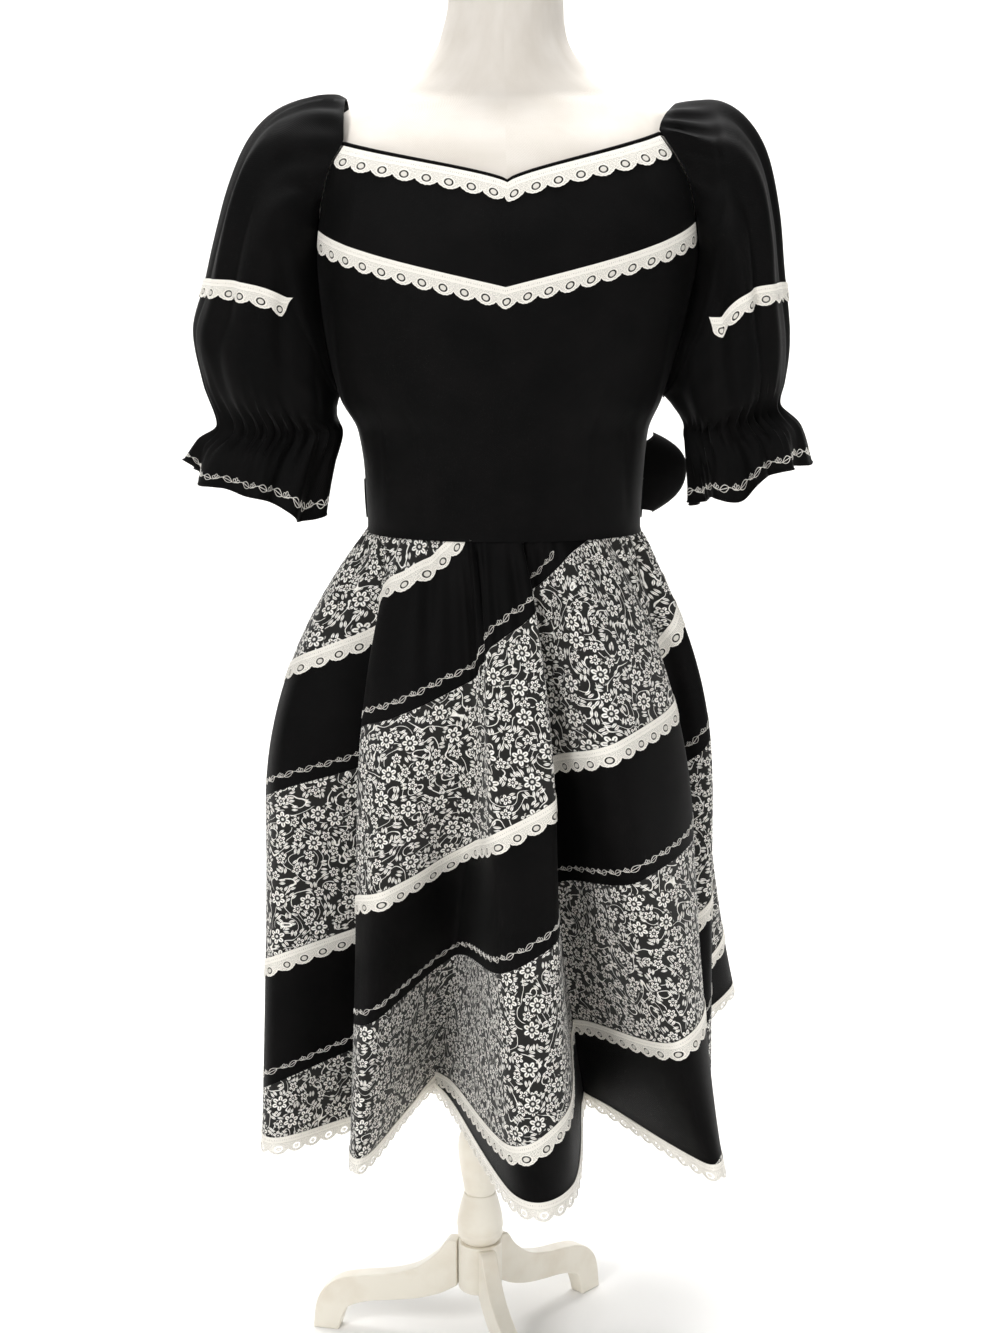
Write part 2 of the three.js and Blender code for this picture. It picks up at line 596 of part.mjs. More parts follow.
// Sleeves: rings fan out from the underarm, from the armhole to the ruffled hem
function armholeSpot(sleeve, side, turn) {
  const lift = wall + 3 * seamGap;
  const cornerSpot = (face) => {
    const edge = armholeTurn(sleeve.cornerUp);
    const spot = bodiceSpot(side * (face > 0 ? edge : 180 - edge), sleeve.cornerUp);
    return spot.point.addScaledVector(spot.normal, lift);
  };
  const face = Math.cos(degToRad(turn - 90)) >= 0 ? 1 : -1;
  const fromTop = turn > 180 ? 360 - turn : turn;
  if (fromTop >= cornerTurn) {
    const share = (Math.cos(degToRad(fromTop)) + 1) / (Math.cos(degToRad(cornerTurn)) + 1);
    const up = lerp(bodice.underarmUp, sleeve.cornerUp, share);
    const edge = armholeTurn(up);
    const spot = bodiceSpot(side * (face > 0 ? edge : 180 - edge), up);
    return spot.point.addScaledVector(spot.normal, lift);
  }
  const corner = cornerSpot(face);
  const lean = degToRad((90 * fromTop) / cornerTurn);
  const right = lerp(sleeve.shoulder.right, corner.x, Math.sin(lean) ** 2);
  const up = lerp(corner.z, sleeve.shoulder.up, Math.cos(lean));
  return new THREE.Vector3(right, corner.y * Math.sin(lean), up);
}

function sleeveRingPoint(ring, side, turn, wave) {
  const a = degToRad(turn);
  const middleRight = (ring.outRight + ring.inRight) / 2;
  const middleUp = (ring.outUp + ring.inUp) / 2;
  const halfRight = (ring.outRight - ring.inRight) / 2;
  const halfUp = (ring.outUp - ring.inUp) / 2;
  const grow = 1 + (wave * ring.wave) / ring.depth;
  const right = middleRight + halfRight * Math.cos(a) * grow + side * ring.bow * Math.sin(a) ** 2;
  return place(right, ring.depth * Math.sin(a) * grow, middleUp + halfUp * Math.cos(a) * grow);
}

function sleevePoints(sleeve, side) {
  const turns = Array.from({ length: sleeveColumns }, (_, j) => (360 * j) / sleeveColumns);
  const first = turns.map((turn) => armholeSpot(sleeve, side, turn));
  const rest = sleeve.rings.map((ring) =>
    turns.map((turn, j) => sleeveRingPoint(ring, side, turn, j % 2 ? -1 : 1)),
  );
  return [first, ...rest];
}

// Adds to each point of a ringed sheet the direction that faces out of it.
function withNormals(points, side) {
  const rows = points.length;
  const count = points[0].length;
  return points.map((row, i) =>
    row.map((point, j) => {
      const along = row[(j + 1) % count].clone().sub(row[(j + count - 1) % count]);
      const down = points[Math.min(i + 1, rows - 1)][j].clone().sub(points[Math.max(i - 1, 0)][j]);
      return { point, normal: along.cross(down).multiplyScalar(side).normalize() };
    }),
  );
}

// The place down one column of a sleeve that lies at a given height, and its facing.
function sleeveCrossing(sheet, j, up) {
  for (let i = 0; i < sheet.length - 1; i += 1) {
    const [a, b] = [sheet[i][j], sheet[i + 1][j]];
    if (a.point.z >= up && b.point.z < up) {
      const t = (a.point.z - up) / (a.point.z - b.point.z);
      return { point: a.point.clone().lerp(b.point, t), normal: a.normal.clone().lerp(b.normal, t).normalize() };
    }
  }
  return null;
}

for (const [name, side] of [["left", -1], ["right", 1]]) {
  const sleeve = sleeves[name];
  const sheet = withNormals(sleevePoints(sleeve, side), side);
  addPiece(`sleeve_${name}`, wallGeometry(sheet, -wall / 2, wall / 2, true), "blackCloth");
  const lines = [];
  for (let step = -8; step <= 8; step += 1) {
    const j = (step + sleeveColumns) % sleeveColumns;
    const nearSeam = Math.pow(Math.abs(step) / 7, 4);
    const up = lerp(sleeve.lace.outerUp, sleeve.lace.seamUp, Math.min(nearSeam, 1));
    const top = sleeveCrossing(sheet, j, up);
    const bottom = sleeveCrossing(sheet, j, up - sleeve.lace.width);
    if (top && bottom) lines.push([top, bottom]);
  }
  const laceSheet = [0, 1].map((i) => lines.map((line) => line[i]));
  addPiece(`sleeve_lace_${name}`, wallGeometry(laceSheet, laceLift + 0.8, laceLift + 0.8 + laceWall, false), "lace");
}

// Sash and bow behind
const sashInner = wall / 2 + 2 * seamGap;
const sashOuter = sashInner + wall;
const backTurns = Array.from({ length: bodice.columns / 2 + 1 }, (_, j) => {
  const u = 1 - (2 * j) / bodice.columns;
  return 179.8 - u * 89.6;
});
for (const [name, side] of [["left", -1], ["right", 1]]) {
  const sheet = [sash.lowUp, (sash.lowUp + sash.highUp) / 2, sash.highUp].map((up) =>
    backTurns.map((turn) => bodiceSpot(side * turn, up)),
  );
  addPiece(`sash_${name}`, wallGeometry(sheet, sashInner, sashOuter, false), "blackCloth");
}
const knot = bow.knot;
const knotOut = -(bodiceAt(knot.up).back + sashOuter + seamGap + knot.halfDeep);
const knotShape = new THREE.SphereGeometry(1, 12, 8);
knotShape.scale(knot.half, knot.halfDeep, knot.halfHigh);
addPiece("bow_knot", knotShape, "blackCloth").position.copy(place(knot.right, knotOut, knot.up));

// A loop leaves the knot close to the back, turns and comes back behind itself.
function loopPoints(side, loop) {
  const steps = 16;
  const start = knot.half - 3 * seamGap;
  return [-1, -0.4, 0.4, 1].map((across) =>
    Array.from({ length: steps + 1 }, (_, j) => {
      const a = (Math.PI * j) / steps;
      const open = Math.sin(a);
      const high = lerp(loop.innerHigh, loop.outerHigh, open) / 2;
      const right = knot.right + side * (start + (loop.reach - start) * Math.pow(open, 0.8));
      const spread = (0.3 + 0.7 * open) * loop.deep * Math.cos(a);
      return place(right, knotOut - 9 * open + spread, knot.up + loop.rise * open + across * high);
    }),
  );
}
for (const [name, side] of [["left", -1], ["right", 1]]) {
  const points = loopPoints(side, bow.loops[name]);
  const sheet = points.map((row, i) =>
    row.map((point, j) => {
      const along = row[Math.min(j + 1, row.length - 1)].clone().sub(row[Math.max(j - 1, 0)]);
      const high = points[Math.min(i + 1, 3)][j].clone().sub(points[Math.max(i - 1, 0)][j]);
      return { point, normal: along.cross(high).normalize() };
    }),
  );
  addPiece(`bow_loop_${name}`, wallGeometry(sheet, -wall / 2, wall / 2, false), "blackCloth");
}
// The tails fall from the knot over the back of the skirt, made from its points.
for (const [name, side] of [["left", -1], ["right", 1]]) {
  const { columns: wide, length, lift } = bow.tail;
  const first = columns.findIndex((column) => column.w > columnWhere(waistTurn, 180));
  const from = side > 0 ? first - wide - 1 : first;
  const used = columns.slice(from, from + wide + 1);
  const topRow = used.map((column, k) => ({
    point: place(knot.right + side * 11.5 + (1.5 - k) * 7, knotOut, knot.up - knot.halfHigh - seamGap),
    normal: place(0, -1, 0.2).normalize(),
  }));
  const rest = [10, 50, 105, 165, 230, 290, length].map((down) =>
    used.map((column) => {
      const spot = skirtSpot(column, down);
      spot.point.addScaledVector(spot.normal, lift);
      return spot;
    }),
  );
  addPiece(`bow_tail_${name}`, wallGeometry([topRow, ...rest], -wall / 2, wall / 2, false), "blackCloth");
}

// Form: neck, shoulders, bust, waist and hips in one closed body
const formRows = formSections.map(({ up }) =>
  Array.from({ length: form.columns }, (_, j) => sectionPoint(formAt, (360 * j) / form.columns, up)),
);

function cappedStack(rows) {
  const positions = [];
  const faces = [];
  rows.flat().forEach((p) => positions.push(p.x, p.y, p.z));
  const count = rows[0].length;
  const id = (i, j) => i * count + (j % count);
  for (let i = 0; i < rows.length - 1; i += 1) {
    for (let j = 0; j < count; j += 1) {
      faces.push(id(i, j), id(i, j + 1), id(i + 1, j + 1), id(i, j), id(i + 1, j + 1), id(i + 1, j));
    }
  }
  for (const [i, order] of [[0, 1], [rows.length - 1, -1]]) {
    for (let j = 1; j < count - 1; j += 1) {
      faces.push(...(order > 0 ? [id(i, 0), id(i, j + 1), id(i, j)] : [id(i, 0), id(i, j), id(i, j + 1)]));
    }
  }
  return facedOut(positions, faces);
}
addPiece("form_torso", cappedStack(formRows), "linen");

// Stand: turned pole and urn, a hub and three shaped board legs
function turned(profile, segments) {
  const outline = [
    new THREE.Vector2(0, profile[0].up),
    ...profile.map(({ up, radius }) => new THREE.Vector2(radius, up)),
    new THREE.Vector2(0, profile[profile.length - 1].up),
  ];
  const geometry = new THREE.LatheGeometry(outline.reverse(), segments);
  geometry.rotateX(Math.PI / 2);
  return geometry;
}
for (const [name, profile] of [["pole", poleProfile], ["urn", urnProfile]]) {
  addPiece(name, turned(profile, 20), "paintedWood").position.set(poleRight, 0, 0);
}
const hubProfile = [
  { up: hub.topUp, radius: hub.radius },
  { up: hub.bottomUp, radius: hub.radius },
];
addPiece("hub", turned(hubProfile, 24), "paintedWood").position.set(poleRight, 0, 0);

function legGeometry() {
  const start = hub.radius + seamGap;
  const outline = new THREE.Shape();
  outline.moveTo(start, 117);
  legTop.forEach(([r, up]) => outline.lineTo(r, up));
  outline.lineTo(legFoot.toe, 0);
  outline.lineTo(legFoot.heel, 0);
  legUnder.forEach(([r, up]) => outline.lineTo(r, up));
  outline.lineTo(start, 67);
  const geometry = new THREE.ExtrudeGeometry(outline, { depth: leg.board, bevelEnabled: false });
  geometry.translate(0, 0, -leg.board / 2);
  geometry.rotateX(Math.PI / 2);
  return geometry;
}
for (const [name, turn] of Object.entries(leg.turns)) {
  const piece = addPiece(`leg_${name}`, legGeometry(), "paintedWood");
  piece.position.set(poleRight, 0, 0);
  piece.rotation.z = degToRad(turn - 90);
}

// The origin is on the floor under the middle of the whole.
const bounds = new THREE.Box3().setFromObject(dress);
const middle = bounds.getCenter(new THREE.Vector3());
dress.position.set(-middle.x, -middle.y, -bounds.min.z);

export default dress;
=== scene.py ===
# A black prairie dress with a spiral skirt on a linen dress form and a painted tripod stand.
# Tables are in millimetres: right and out as a viewer in front sees them, and up from the floor.
import math

import bmesh
import bpy
import numpy as np
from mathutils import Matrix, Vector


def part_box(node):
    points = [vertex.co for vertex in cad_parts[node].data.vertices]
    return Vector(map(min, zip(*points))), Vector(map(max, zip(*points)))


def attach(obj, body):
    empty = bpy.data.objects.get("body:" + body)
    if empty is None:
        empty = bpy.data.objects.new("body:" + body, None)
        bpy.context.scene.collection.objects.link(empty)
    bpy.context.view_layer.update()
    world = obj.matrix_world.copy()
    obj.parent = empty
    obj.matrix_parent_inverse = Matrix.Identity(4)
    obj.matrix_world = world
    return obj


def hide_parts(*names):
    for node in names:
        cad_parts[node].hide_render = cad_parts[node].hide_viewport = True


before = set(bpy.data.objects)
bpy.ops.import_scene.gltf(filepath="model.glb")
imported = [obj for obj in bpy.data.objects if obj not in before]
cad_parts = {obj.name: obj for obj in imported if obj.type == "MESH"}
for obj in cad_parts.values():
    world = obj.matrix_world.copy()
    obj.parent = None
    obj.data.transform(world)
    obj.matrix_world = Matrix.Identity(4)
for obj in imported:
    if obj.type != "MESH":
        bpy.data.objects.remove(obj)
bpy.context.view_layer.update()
poleLow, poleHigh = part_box("pole")
poleRight = -21
shift = np.array([
    500 * (poleLow[0] + poleHigh[0]) - poleRight,
    500 * (poleLow[1] + poleHigh[1]),
    0.0,
])


# Geometry helpers
def place(right, out, up):
    return np.stack(np.broadcast_arrays(right, -np.asarray(out, float), up), -1).astype(float)


def unit(v):
    return v / np.maximum(np.linalg.norm(v, axis=-1, keepdims=True), 1e-9)


def tableCurve(xs, ys):
    # A smooth curve through table rows that never overshoots them.
    xs = np.array(xs, float)
    ys = np.array(ys, float)
    steps = np.diff(ys) / np.diff(xs)
    before = np.r_[steps[0], steps]
    after = np.r_[steps, steps[-1]]
    total = np.where(before * after > 0, before + after, 1)
    slopes = np.where(before * after > 0, 2 * before * after / total, 0)

    def read(x):
        x = np.asarray(x, float)
        k = np.clip(np.searchsorted(xs, x) - 1, 0, len(xs) - 2)
        span = xs[k + 1] - xs[k]
        t = np.clip((x - xs[k]) / span, 0, 1)
        rise = t * t * (3 - 2 * t)
        bend = t * (1 - t) ** 2 * span * slopes[k] - t * t * (1 - t) * span * slopes[k + 1]
        return ys[k] + (ys[k + 1] - ys[k]) * rise + bend

    return read


def waver(x, seed):
    # Uneven, repeatable waves between about -1 and 1.
    waves = np.sin(x + seed) + 0.6 * np.sin(2.3 * x + 1.7 * seed) + 0.4 * np.sin(4.1 * x + 2.9 * seed)
    return waves / 1.6


def creaseHeight(rows, across, along, period=None):
    # Rows: where it runs, where it starts and ends, its half width, its height, and its lean.
    total = np.zeros(np.broadcast(across, along).shape)
    for at, start, end, width, height, lean in rows:
        t = (along - start) / (end - start)
        away = across - at - lean * t
        if period:
            away = (away + period / 2) % period - period / 2
        body = np.where((t > 0) & (t < 1), np.sin(np.pi * np.clip(t, 0, 1)) ** 0.8, 0)
        total = total + height * body * np.exp(-((away / width) ** 2))
    return total


def sampleGrid(grid, row, column, ring=False):
    # Reads a grid of points between its rows and columns.
    rows, columns = grid.shape[:2]
    row = np.clip(row, 0, rows - 1.0001)
    i = np.floor(row).astype(int)
    s = (row - i)[..., None]
    if ring:
        j = np.floor(column).astype(int)
        t = (column - j)[..., None]
        j, n = j % columns, (j + 1) % columns
    else:
        column = np.clip(column, 0, columns - 1.0001)
        j = np.floor(column).astype(int)
        t = (column - j)[..., None]
        n = j + 1
    top = grid[i, j] * (1 - t) + grid[i, n] * t
    low = grid[i + 1, j] * (1 - t) + grid[i + 1, n] * t
    return top * (1 - s) + low * s


def gridNormals(points, ring, side=1):
    if ring:
        along = np.roll(points, -1, 1) - np.roll(points, 1, 1)
    else:
        along = np.gradient(points, axis=1)
    down = np.gradient(points, axis=0)
    return side * unit(np.cross(down, along))


def throughPoints(a, b, c, d, t):
    # A smooth curve from b to c, with a before them and d after them.
    return b + 0.5 * t * (c - a + t * (2 * a - 5 * b + 4 * c - d + t * (3 * (b - c) + d - a)))


def quadFacing(points, quads):
    return np.cross(points[quads[:, 1]] - points[quads[:, 0]], points[quads[:, 3]] - points[quads[:, 0]])


def arcLength(points):
    return np.r_[0, np.cumsum(np.linalg.norm(np.diff(points, axis=0), axis=1))]


def addPiece(name, points, faces, uvs, finish, node=None, rim=None, weld=False):
    # A finish is a material and its slot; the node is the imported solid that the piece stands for.
    mesh = bpy.data.meshes.new(name)
    mesh.from_pydata(((points + shift) / 1000).tolist(), [], faces)
    if uvs is not None:
        mesh.uv_layers.new(name="cloth").data.foreach_set("uv", np.asarray(uvs, float).ravel())
    if rim is not None:
        mesh.attributes.new("rim", "FLOAT", "POINT").data.foreach_set("value", rim)
    if weld:
        work = bmesh.new()
        work.from_mesh(mesh)
        bmesh.ops.remove_doubles(work, verts=work.verts, dist=0.00002)
        work.to_mesh(mesh)
        work.free()
    mesh.shade_smooth()
    mesh.set_sharp_from_angle(angle=math.radians(55))
    mesh.materials.append(finish[0])
    piece = bpy.data.objects.new(name, mesh)
    bpy.context.scene.collection.objects.link(piece)
    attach(piece, "root")
    if node:
        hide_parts(node)
    return piece


# How far the outer and inner faces of each kind of cloth stand off the grid that it is drawn on
wall = {"cloth": (0.75, -0.05), "lace": (1.75, 1.15), "sash": (2.35, 1.45), "bow": (0.7, -0.3)}


def clothShell(name, points, normals, faceOffsets, uv, finish, ring=False, rim=None, weld=False):
    # A thin cloth with two faces and turned edges, from a grid of points with rows going down.
    # It stands for the node of the same name without its last word.
    rows, columns = points.shape[:2]
    spans = columns if ring else columns - 1
    if ring:
        uv = np.concatenate([uv, uv[:, :1] + [[[2 * uv[0, -1, 0] - uv[0, -2, 0] - uv[0, 0, 0], 0]]]], 1)
    uvColumns = uv.shape[1]

    def gridQuads(i, j, n, wide):
        corners = [i * wide + j, (i + 1) * wide + j, (i + 1) * wide + n, i * wide + n]
        return np.stack([c.ravel() for c in corners], 1)

    i, j = np.meshgrid(np.arange(rows - 1), np.arange(spans), indexing="ij")
    front = gridQuads(i, j, (j + 1) % columns, columns)
    frontUv = gridQuads(i, j, j + 1, uvColumns)
    facing = quadFacing(points.reshape(-1, 3), front)
    flipped = bool(np.sum(facing * normals.reshape(-1, 3)[front[:, 0]]) < 0)
    if flipped:
        front, frontUv = front[:, ::-1], frontUv[:, ::-1]
    # Each edge: its points and the ones after them, the same in the UV grid, and which way it faces
    i, j = np.arange(rows - 1), np.arange(spans)
    runs = []
    for row in (0, rows - 1):
        a, ua = row * columns, row * uvColumns
        runs.append((a + j, a + (j + 1) % columns, ua + j, ua + j + 1, row == 0))
    for column in () if ring else (0, columns - 1):
        a, ua = i * columns + column, i * uvColumns + column
        runs.append((a, a + columns, ua, ua + uvColumns, column != 0))
    count = rows * columns
    edges, edgeUv = [], []
    for a, b, ua, ub, forward in runs:
        order = 1 if forward != flipped else -1
        edges.append(np.stack([a, b, b + count, a + count], 1)[:, ::order])
        edgeUv.append(np.stack([ua, ub, ub, ua], 1)[:, ::order])
    faces = np.concatenate([front, front[:, ::-1] + count] + edges).tolist()
    uvIndex = np.concatenate([frontUv, frontUv[:, ::-1]] + edgeUv)
    both = np.concatenate([(points + offset * normals).reshape(-1, 3) for offset in faceOffsets])
    rims = None if rim is None else np.concatenate([rim.ravel(), rim.ravel()])
    uvs = uv.reshape(-1, 2)[uvIndex.ravel()]
    return addPiece(name, both, faces, uvs, finish, name.rsplit("_", 1)[0], rims, weld)


# Materials
def linearColour(code):
    def channel(text):
        c = int(text, 16) / 255
        return c / 12.92 if c <= 0.04045 else ((c + 0.055) / 1.055) ** 2.4

    return (channel(code[1:3]), channel(code[3:5]), channel(code[5:7]), 1.0)


def fillNode(tree, node, settings, links):
    # A node given as a source stands for its first output.
    for key, value in settings.items():
        if isinstance(key, int) or key in node.inputs:
            node.inputs[key].default_value = value
        else:
            setattr(node, key, value)
    for key, source in links.items():
        if isinstance(source, bpy.types.Node):
            source = source.outputs[0]
        tree.links.new(source, node.inputs[key])
    return node


def addNode(tree, kind, settings, links):
    return fillNode(tree, tree.nodes.new("ShaderNode" + kind), settings, links)


def newMaterial(name):
    material = bpy.data.materials.new(name)
    material.use_nodes = True
    tree = material.node_tree
    tree.nodes.clear()
    surface = addNode(tree, "BsdfPrincipled", {}, {})
    addNode(tree, "OutputMaterial", {}, {"Surface": surface})
    return material, tree, surface


def addWeave(tree, surface, threadMm, strength, slub=0.5):
    # Plain weave: threads over and under, with uneven thick places along them.
    uv = addNode(tree, "UVMap", {"uv_map": "cloth"}, {})
    parts = addNode(tree, "SeparateXYZ", {}, {0: uv})
    across = addNode(tree, "Math", {"operation": "MULTIPLY", 1: math.pi / threadMm}, {0: parts})
    down = addNode(tree, "Math", {"operation": "MULTIPLY", 1: math.pi / threadMm}, {0: parts.outputs[1]})
    warp = addNode(tree, "Math", {"operation": "SINE"}, {0: across})
    weft = addNode(tree, "Math", {"operation": "SINE"}, {0: down})
    crossing = addNode(tree, "Math", {"operation": "MULTIPLY"}, {0: warp, 1: weft})
    uneven = addNode(tree, "TexNoise", {"Scale": 0.8 / threadMm, "Detail": 3.0}, {"Vector": uv})
    height = addNode(tree, "Math", {"operation": "MULTIPLY_ADD", 1: slub * 3}, {0: uneven, 2: crossing})
    bump = addNode(tree, "Bump", {"Strength": strength, "Distance": 0.0003}, {"Height": height})
    fillNode(tree, surface, {}, {"Normal": bump})
    return uv


def blackPoplin():
    # Cotton and polyester poplin, plain woven and piece dyed: matt black with a faint dusty sheen
    # where a fold turns away.
    look = {"deep": "#060606", "worn": "#0c0b0b", "roughness": 0.58, "sheen": 0.03, "threadMm": 0.9}
    material, tree, surface = newMaterial("black cotton poplin")
    uv = addWeave(tree, surface, look["threadMm"], 0.35)
    patches = addNode(tree, "TexNoise", {"Scale": 0.018, "Detail": 4.0}, {"Vector": uv})
    tone = addNode(tree, "ValToRGB", {}, {0: patches})
    for stop, at, code in zip(tone.color_ramp.elements, (0.35, 0.7), (look["deep"], look["worn"])):
        stop.position = at
        stop.color = linearColour(code)
    fillNode(tree, surface, {
        "Roughness": look["roughness"], "Sheen Weight": look["sheen"], "Sheen Roughness": 0.35,
        "Specular IOR Level": 0.06,
    }, {"Base Color": tone})
    return material


def motifCells(tree, coords, cellMm, scatter, move):
    # Scattered places for one kind of motif: the way from its middle, turned at random.
    moved = addNode(tree, "VectorMath", {"operation": "ADD", 1: (move, 0.6 * move, 0)}, {0: coords})
    cells = addNode(
        tree, "TexVoronoi", {"voronoi_dimensions": "2D", "Scale": 1 / cellMm, "Randomness": scatter},
        {"Vector": moved},
    )
    away = addNode(
        tree, "VectorMath", {"operation": "SUBTRACT"}, {0: moved, 1: cells.outputs["Position"]},
    )
    chance = addNode(tree, "SeparateColor", {}, {0: cells.outputs["Color"]})
    turn = addNode(tree, "Math", {"operation": "MULTIPLY", 1: 2 * math.pi}, {0: chance})
    turned = addNode(tree, "VectorRotate", {"rotation_type": "Z_AXIS"}, {"Vector": away, "Angle": turn})
    return turned.outputs[0], chance.outputs[1]


def flowerMask(tree, local, chance, radiusMm, petals, share):
    # A flower: petals round a dark ring and a light middle; only a share of the places has one.
    parts = addNode(tree, "SeparateXYZ", {}, {0: local})
    around = addNode(tree, "Math", {"operation": "ARCTAN2"}, {0: parts.outputs[1], 1: parts})
    half = addNode(tree, "Math", {"operation": "MULTIPLY", 1: petals / 2}, {0: around})
    wave = addNode(tree, "Math", {"operation": "COSINE"}, {0: half})
    lobe = addNode(tree, "Math", {"operation": "ABSOLUTE"}, {0: wave})
    rounder = addNode(tree, "Math", {"operation": "POWER", 1: 0.65}, {0: lobe})
    reach = addNode(
        tree, "Math", {"operation": "MULTIPLY_ADD", 1: 0.68 * radiusMm, 2: 0.32 * radiusMm}, {0: rounder},
    )
    far = addNode(tree, "VectorMath", {"operation": "LENGTH"}, {0: local})
    inside = addNode(tree, "Math", {"operation": "SUBTRACT"}, {0: reach, 1: far.outputs["Value"]})
    petal = addNode(tree, "MapRange", {"From Min": -0.25, "From Max": 0.3}, {0: inside})
    ringAway = addNode(
        tree, "Math", {"operation": "SUBTRACT", 1: 0.3 * radiusMm}, {0: far.outputs["Value"]},
    )
    ringWidth = addNode(tree, "Math", {"operation": "ABSOLUTE"}, {0: ringAway})
    ring = addNode(
        tree, "MapRange", {"From Min": 0.09 * radiusMm, "From Max": 0.16 * radiusMm, "To Min": 0.02},
        {0: ringWidth},
    )
    vein = addNode(
        tree, "MapRange", {"From Min": 0.94, "From Max": 0.995, "To Min": 1.0, "To Max": 0.1}, {0: lobe},
    )
    outer = addNode(
        tree, "Math", {"operation": "GREATER_THAN", 1: 0.8 * radiusMm}, {0: far.outputs["Value"]},
    )
    veined = addNode(tree, "Math", {"operation": "MAXIMUM"}, {0: vein, 1: outer})
    drawn = addNode(tree, "Math", {"operation": "MULTIPLY"}, {0: petal, 1: ring})
    shaded = addNode(tree, "Math", {"operation": "MULTIPLY"}, {0: drawn, 1: veined})
    shown = addNode(tree, "Math", {"operation": "LESS_THAN", 1: share}, {0: chance})
    mask = addNode(tree, "Math", {"operation": "MULTIPLY"}, {0: shaded, 1: shown})
    ground = addNode(
        tree, "MapRange", {"From Min": 1.2 * radiusMm, "From Max": 1.05 * radiusMm},
        {0: far.outputs["Value"]},
    )
    taken = addNode(tree, "Math", {"operation": "MULTIPLY"}, {0: ground, 1: shown})
    return mask.outputs[0], taken.outputs[0]


def leafMask(tree, local, halfLongMm, halfWideMm, asideMm):
    # A pointed leaf with a dark middle vein, set aside from the middle of its place.
    parts = addNode(tree, "SeparateXYZ", {}, {0: local})
    side = addNode(tree, "Math", {"operation": "ABSOLUTE"}, {0: parts.outputs[1]})
    fromVein = addNode(tree, "Math", {"operation": "SUBTRACT", 1: asideMm}, {0: side})
    width = addNode(tree, "Math", {"operation": "ABSOLUTE"}, {0: fromVein})
    share = addNode(tree, "Math", {"operation": "DIVIDE", 1: halfLongMm}, {0: parts})
    square = addNode(tree, "Math", {"operation": "MULTIPLY"}, {0: share, 1: share})
    room = addNode(
        tree, "Math", {"operation": "MULTIPLY_ADD", 1: -halfWideMm, 2: halfWideMm}, {0: square},
    )
    inside = addNode(tree, "Math", {"operation": "SUBTRACT"}, {0: room, 1: width})
    blade = addNode(tree, "MapRange", {"From Min": -0.15, "From Max": 0.2}, {0: inside})
    vein = addNode(tree, "MapRange", {"From Min": 0.1, "From Max": 0.35, "To Min": 0.25}, {0: width})
    leaf = addNode(tree, "Math", {"operation": "MULTIPLY"}, {0: blade, 1: vein})
    return leaf.outputs[0]


def floralPrint():
    # The same poplin, printed with small white flowers, leaves and curling stems on charcoal.
    look = {
        "ground": "#1c1b19", "motif": "#fbf9f4", "greyed": "#e6e2d9", "roughness": 0.85, "threadMm": 0.9,
        "largeCellMm": 30, "largeRadiusMm": 8.0, "smallCellMm": 17.5, "smallRadiusMm": 4.9,
        "leafCellMm": 9.4, "stemMm": 34,
    }
    material, tree, surface = newMaterial("printed cotton poplin")
    uv = addWeave(tree, surface, look["threadMm"], 0.3)
    coords = uv.outputs[0]
    local, chance = motifCells(tree, coords, look["largeCellMm"], 0.6, 0)
    large, largeGround = flowerMask(tree, local, chance, look["largeRadiusMm"], 6, 0.8)
    local, chance = motifCells(tree, coords, look["smallCellMm"], 0.75, 31)
    small, smallGround = flowerMask(tree, local, chance, look["smallRadiusMm"], 5, 0.72)
    local, chance = motifCells(tree, coords, look["leafCellMm"], 0.8, 77)
    leaves = leafMask(tree, local, 3.5, 1.25, 1.65)
    wander = addNode(
        tree, "TexNoise", {"noise_dimensions": "2D", "Scale": 1 / look["stemMm"], "Detail": 0.6},
        {"Vector": coords},
    )
    levels = addNode(tree, "Math", {"operation": "PINGPONG", 1: 0.06}, {0: wander})
    stems = addNode(tree, "MapRange", {"From Min": 0.0065, "From Max": 0.004}, {0: levels})
    greenery = addNode(tree, "Math", {"operation": "MAXIMUM"}, {0: leaves, 1: stems})
    freeOfSmall = addNode(tree, "Math", {"operation": "SUBTRACT", 0: 1.0}, {1: smallGround})
    freeOfLarge = addNode(tree, "Math", {"operation": "SUBTRACT", 0: 1.0}, {1: largeGround})
    shown = addNode(tree, "Math", {"operation": "MULTIPLY"}, {0: greenery, 1: freeOfSmall})
    under = addNode(tree, "Math", {"operation": "MAXIMUM"}, {0: shown, 1: small})
    cleared = addNode(tree, "Math", {"operation": "MULTIPLY"}, {0: under, 1: freeOfLarge})
    pattern = addNode(tree, "Math", {"operation": "MAXIMUM"}, {0: cleared, 1: large})
    inking = addNode(tree, "TexNoise", {"Scale": 0.35, "Detail": 2.0}, {"Vector": coords})
    wear = addNode(tree, "MapRange", {"From Min": 0.35, "From Max": 0.6}, {0: inking})
    white = addNode(
        tree, "MixRGB", {1: linearColour(look["greyed"]), 2: linearColour(look["motif"])}, {0: wear},
    )
    colour = addNode(tree, "MixRGB", {1: linearColour(look["ground"])}, {0: pattern, 2: white})
    values = {"Roughness": look["roughness"], "Sheen Weight": 0.12, "Specular IOR Level": 0.3}
    fillNode(tree, surface, values, {"Base Color": colour})
    return material


